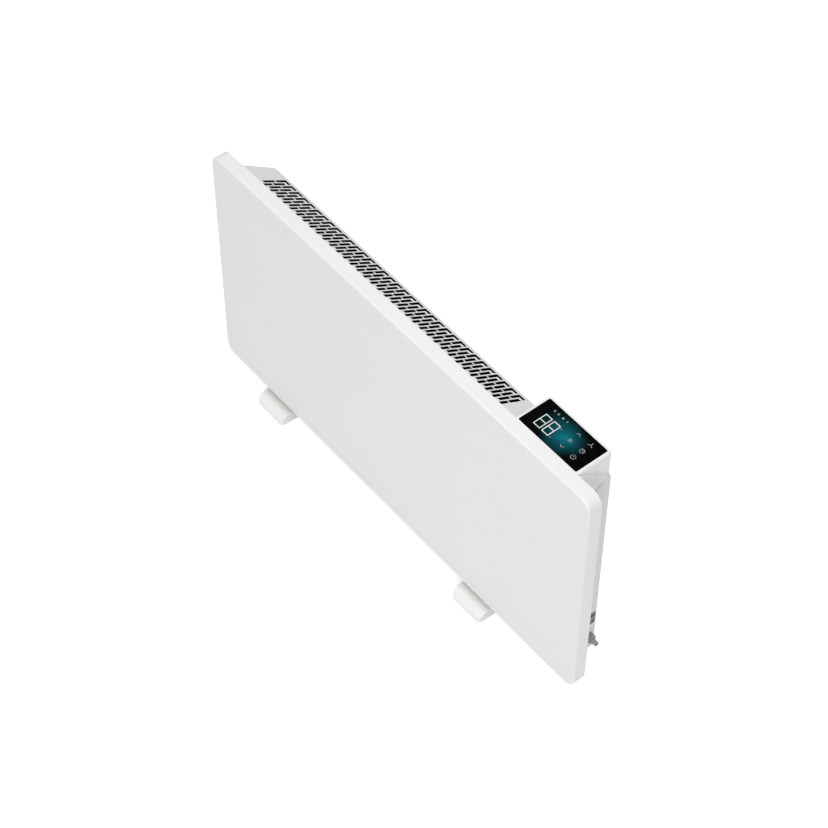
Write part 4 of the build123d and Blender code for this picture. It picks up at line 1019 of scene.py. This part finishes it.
# ---- Cable gland ----
gland = {
    "flangeRound": (0.45 * mm, 3), "threadRadius": 5.95 * mm, "threadSegments": 32,
    "capRound": (2.2 * mm, 6), "grips": 16, "gripInset": 0.12 * mm, "gripDepth": 0.3 * mm,
    "bore": 3.1 * mm, "seat": 4.25 * mm, "noseRadius": 4.2 * mm, "tipRadius": 3.8 * mm,
    "noseStep": 11.5 * mm, "stepRound": (0.35 * mm, 3), "tipRound": (0.3 * mm, 3), "noseSegments": 48,
}


def addLathe(bm, start, profile, segments):
    # turns a closed profile of (along, radius) pairs about an axis in X
    verts = [bm.verts.new(start + Vector((along, 0, radius))) for along, radius in profile]
    edges = [bm.edges.new(pair) for pair in zip(verts, verts[1:] + verts[:1])]
    bmesh.ops.spin(
        bm, geom=verts + edges, cent=start, axis=(1, 0, 0),
        angle=2 * math.pi, steps=segments, use_merge=True,
    )
    bmesh.ops.recalc_face_normals(bm, faces=bm.faces)


def ringEdges(bm, start, along, radius):
    return edgesWhere(bm, lambda co: near(co.x, start.x + along) and near((co - start).yz.length, radius))


def makeGlandBody(start):
    low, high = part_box("gland_body")
    side = casing["halfWidth"]
    bm = bmesh.new()
    addRod(bm, (side, start.y, start.z), (high.y - low.y) / 2, start.x - side, 6)
    roundEdges(bm, edgesAlong(bm, across), *gland["flangeRound"])
    roundEdges(bm, edgesWhere(bm, lambda co: near(co.x, start.x)), *gland["flangeRound"])
    addRod(bm, (low.x, start.y, start.z), gland["threadRadius"], side - low.x, gland["threadSegments"])
    finishNode(bm, "gland_body")


def makeGlandCap(start, radius, length):
    bm = bmesh.new()
    seat = gland["seat"]
    addLathe(bm, start, [(0, seat), (0, radius), (length, radius), (length, seat)], 4 * gland["grips"])
    roundEdges(bm, ringEdges(bm, start, length, radius), *gland["capRound"])
    bm.normal_update()
    grips = []
    for face in bm.faces:
        outward = face.normal.dot(face.calc_center_median() - start) > radius / 2
        turn = math.atan2(face.normal.z, face.normal.y) / math.pi * 2 * gland["grips"]
        if outward and abs(face.normal.x) < 0.02 and round(turn - 0.5) % 4 == 0:
            grips.append(face)
    bmesh.ops.inset_individual(bm, faces=grips, thickness=gland["gripInset"], depth=-gland["gripDepth"])
    finishNode(bm, "gland_cap")


def makeGlandSeal(start):
    bore, nose, tip = gland["bore"], gland["noseRadius"], gland["tipRadius"]
    step, reach = gland["noseStep"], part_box("gland_seal")[1].x - start.x
    profile = [(0, bore), (0, nose), (step, nose), (step, tip), (reach, tip), (reach, bore)]
    bm = bmesh.new()
    addLathe(bm, start, profile, gland["noseSegments"])
    roundEdges(bm, ringEdges(bm, start, step, nose), *gland["stepRound"])
    ends = ringEdges(bm, start, reach, tip) + ringEdges(bm, start, reach, bore)
    roundEdges(bm, ends, *gland["tipRound"])
    finishNode(bm, "gland_seal")


def makeGland():
    low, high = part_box("gland_cap")
    start = Vector((low.x, (low.y + high.y) / 2, (low.z + high.z) / 2))
    makeGlandBody(start)
    makeGlandCap(start, (high.y - low.y) / 2, high.x - low.x)
    makeGlandSeal(start)


makeGland()
print("cable gland made")

# ---- Feet ----
foot = {
    "edgeRound": (1.6 * mm, 4), "cornerRound": (6 * mm, 6), "frontHeight": 13.5 * mm,
    "shoulder": 11.5 * mm, "lugHeight": 19.5 * mm, "floorHeight": 18 * mm,
    "lugGap": 0.3 * mm, "wall": 3 * mm, "roof": 4 * mm, "end": 22 * mm, "softAngle": 14.0,
}


def makeFoot(node):
    low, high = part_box(node)
    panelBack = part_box("front_panel")[1].y - foot["lugGap"]
    outline = [
        (low.y, low.z), (low.y, foot["frontHeight"]), (low.y + foot["shoulder"], foot["lugHeight"]),
        (panelBack, foot["lugHeight"]), (panelBack, foot["floorHeight"]),
        (high.y - foot["shoulder"], foot["floorHeight"]), (high.y, foot["frontHeight"]), (high.y, low.z),
    ]
    bm = bmesh.new()
    addPrism(bm, [(low.x, *point) for point in outline], (high.x - low.x, 0, 0))
    corners = edgesAlong(bm, upward, lambda co: near(co.y, low.y) or near(co.y, high.y))
    roundEdges(bm, corners, *foot["cornerRound"])
    upper = [
        edge for edge in edgesWhere(bm, lambda co: co.z > low.z + 1 * mm)
        if math.degrees(edge.calc_face_angle(0.0)) > foot["softAngle"]
        and not all(near(vert.co.y, panelBack) for vert in edge.verts)
    ]
    roundEdges(bm, upper, *foot["edgeRound"])
    inset = Vector((foot["wall"], foot["end"], 0))
    under = Vector(((low.x + high.x) / 2, (low.y + high.y) / 2, low.z))
    pocket = windowCuts((across, deep), low + inset, high - inset)
    pushWindow(bm, under, pocket, (0, 0, foot["floorHeight"] - foot["roof"] - low.z))
    finishNode(bm, node)


for node in ("left_foot", "right_foot"):
    makeFoot(node)
print("feet made")

# ---- Wall bracket, spacers and pads ----
softened = {  # radius and segments of the rounded edges
    "wall_bracket": (0.3 * mm, 3), "wall_spacers": (0.9 * mm, 4), "foot_pads": (0.3 * mm, 3),
}


def makeSoftened(node):
    # a merged copy of a solid, with its sharp edges rounded
    bm = copySolid(node)
    bmesh.ops.dissolve_limit(bm, angle_limit=math.radians(1), verts=bm.verts, edges=bm.edges)
    sharp = [edge for edge in bm.edges if edge.calc_face_angle(0.0) > math.radians(50)]
    roundEdges(bm, sharp, *softened[node])
    finishNode(bm, node)


for node in softened:
    makeSoftened(node)
print("wall bracket, spacers and pads made")

# ---- Stage, light and camera ----
studio = {
    "skyLight": 0.54, "floorTone": gray(0.85), "floorLift": 0.56, "floorRadius": 8.0, "aim": (0, 0, 0.25),
    "topPower": 15.0, "topSize": 1.0, "topPlace": (0.1, -0.15, 2.3),
    "sidePower": 71.0, "sideSize": 1.8, "sidePlace": (2.8, -3.15, 2.75),
}
view = {
    "azimuth": 50.8357, "elevation": 50.4875, "roll": -0.2429, "lens": 102.54, "sensor": 36.0,
    "place": (1.69180, -1.37264, 2.86597),
}


def cameraSees(tree):
    # 1 where a ray comes straight from the camera, off metal or through glass
    seen = addNode(tree, "ShaderNodeLightPath").outputs
    direct = addMath(tree, "MAXIMUM", seen["Is Camera Ray"], seen["Is Glossy Ray"])
    return addMath(tree, "MAXIMUM", direct, seen["Is Transmission Ray"])


def makeStage():
    bm = bmesh.new()
    bmesh.ops.create_circle(bm, cap_ends=True, radius=studio["floorRadius"], segments=96)
    mesh = bpy.data.meshes.new("studioFloor")
    bm.to_mesh(mesh)
    bm.free()
    floor = addObject("studioFloor", mesh)
    material = bpy.data.materials.new("studioPaper")
    material.use_nodes = True
    tree = material.node_tree
    tree.nodes.clear()
    strength = addMath(tree, "MULTIPLY", cameraSees(tree), studio["floorLift"])
    paper = addNode(tree, "ShaderNodeBsdfDiffuse", {"Color": studio["floorTone"]})
    lift = addNode(tree, "ShaderNodeEmission", {"Color": gray(1.0), "Strength": strength})
    both = addNode(tree, "ShaderNodeAddShader", {0: paper.outputs[0], 1: lift.outputs[0]})
    addNode(tree, "ShaderNodeOutputMaterial", {"Surface": both.outputs[0]})
    mesh.materials.append(material)


def makeLight():
    world = bpy.data.worlds.new("studioSky")
    world.use_nodes = True
    bpy.context.scene.world = world
    tree = world.node_tree
    tree.nodes.clear()
    strength = addRange(tree, cameraSees(tree), 0.0, 1.0, studio["skyLight"], 1.0)
    sky = addNode(tree, "ShaderNodeBackground", {"Color": gray(1.0), "Strength": strength})
    addNode(tree, "ShaderNodeOutputWorld", {"Surface": sky.outputs[0]})
    for name in ("top", "side"):
        lamp = bpy.data.lights.new(name + "Softbox", "AREA")
        lamp.shape = "SQUARE"
        lamp.size = studio[name + "Size"]
        lamp.energy = studio[name + "Power"]
        softbox = addObject(name + "Softbox", lamp)
        place = Vector(studio[name + "Place"])
        turn = (Vector(studio["aim"]) - place).to_track_quat("-Z", "Y")
        softbox.matrix_world = Matrix.Translation(place) @ turn.to_matrix().to_4x4()


def makeCamera():
    lens = bpy.data.cameras.new("photoCamera")
    lens.lens = view["lens"]
    lens.sensor_width = view["sensor"]
    lens.sensor_fit = "HORIZONTAL"
    camera = addObject("photoCamera", lens)
    turn = (
        Matrix.Rotation(math.radians(view["azimuth"]), 4, "Z")
        @ Matrix.Rotation(math.radians(90 - view["elevation"]), 4, "X")
        @ Matrix.Rotation(math.radians(-view["roll"]), 4, "Z")
    )
    camera.matrix_world = Matrix.Translation(Vector(view["place"])) @ turn
    bpy.context.scene.camera = camera


makeStage()
makeLight()
makeCamera()
bpy.context.scene.view_settings.view_transform = "Standard"
print("stage, light and camera made")
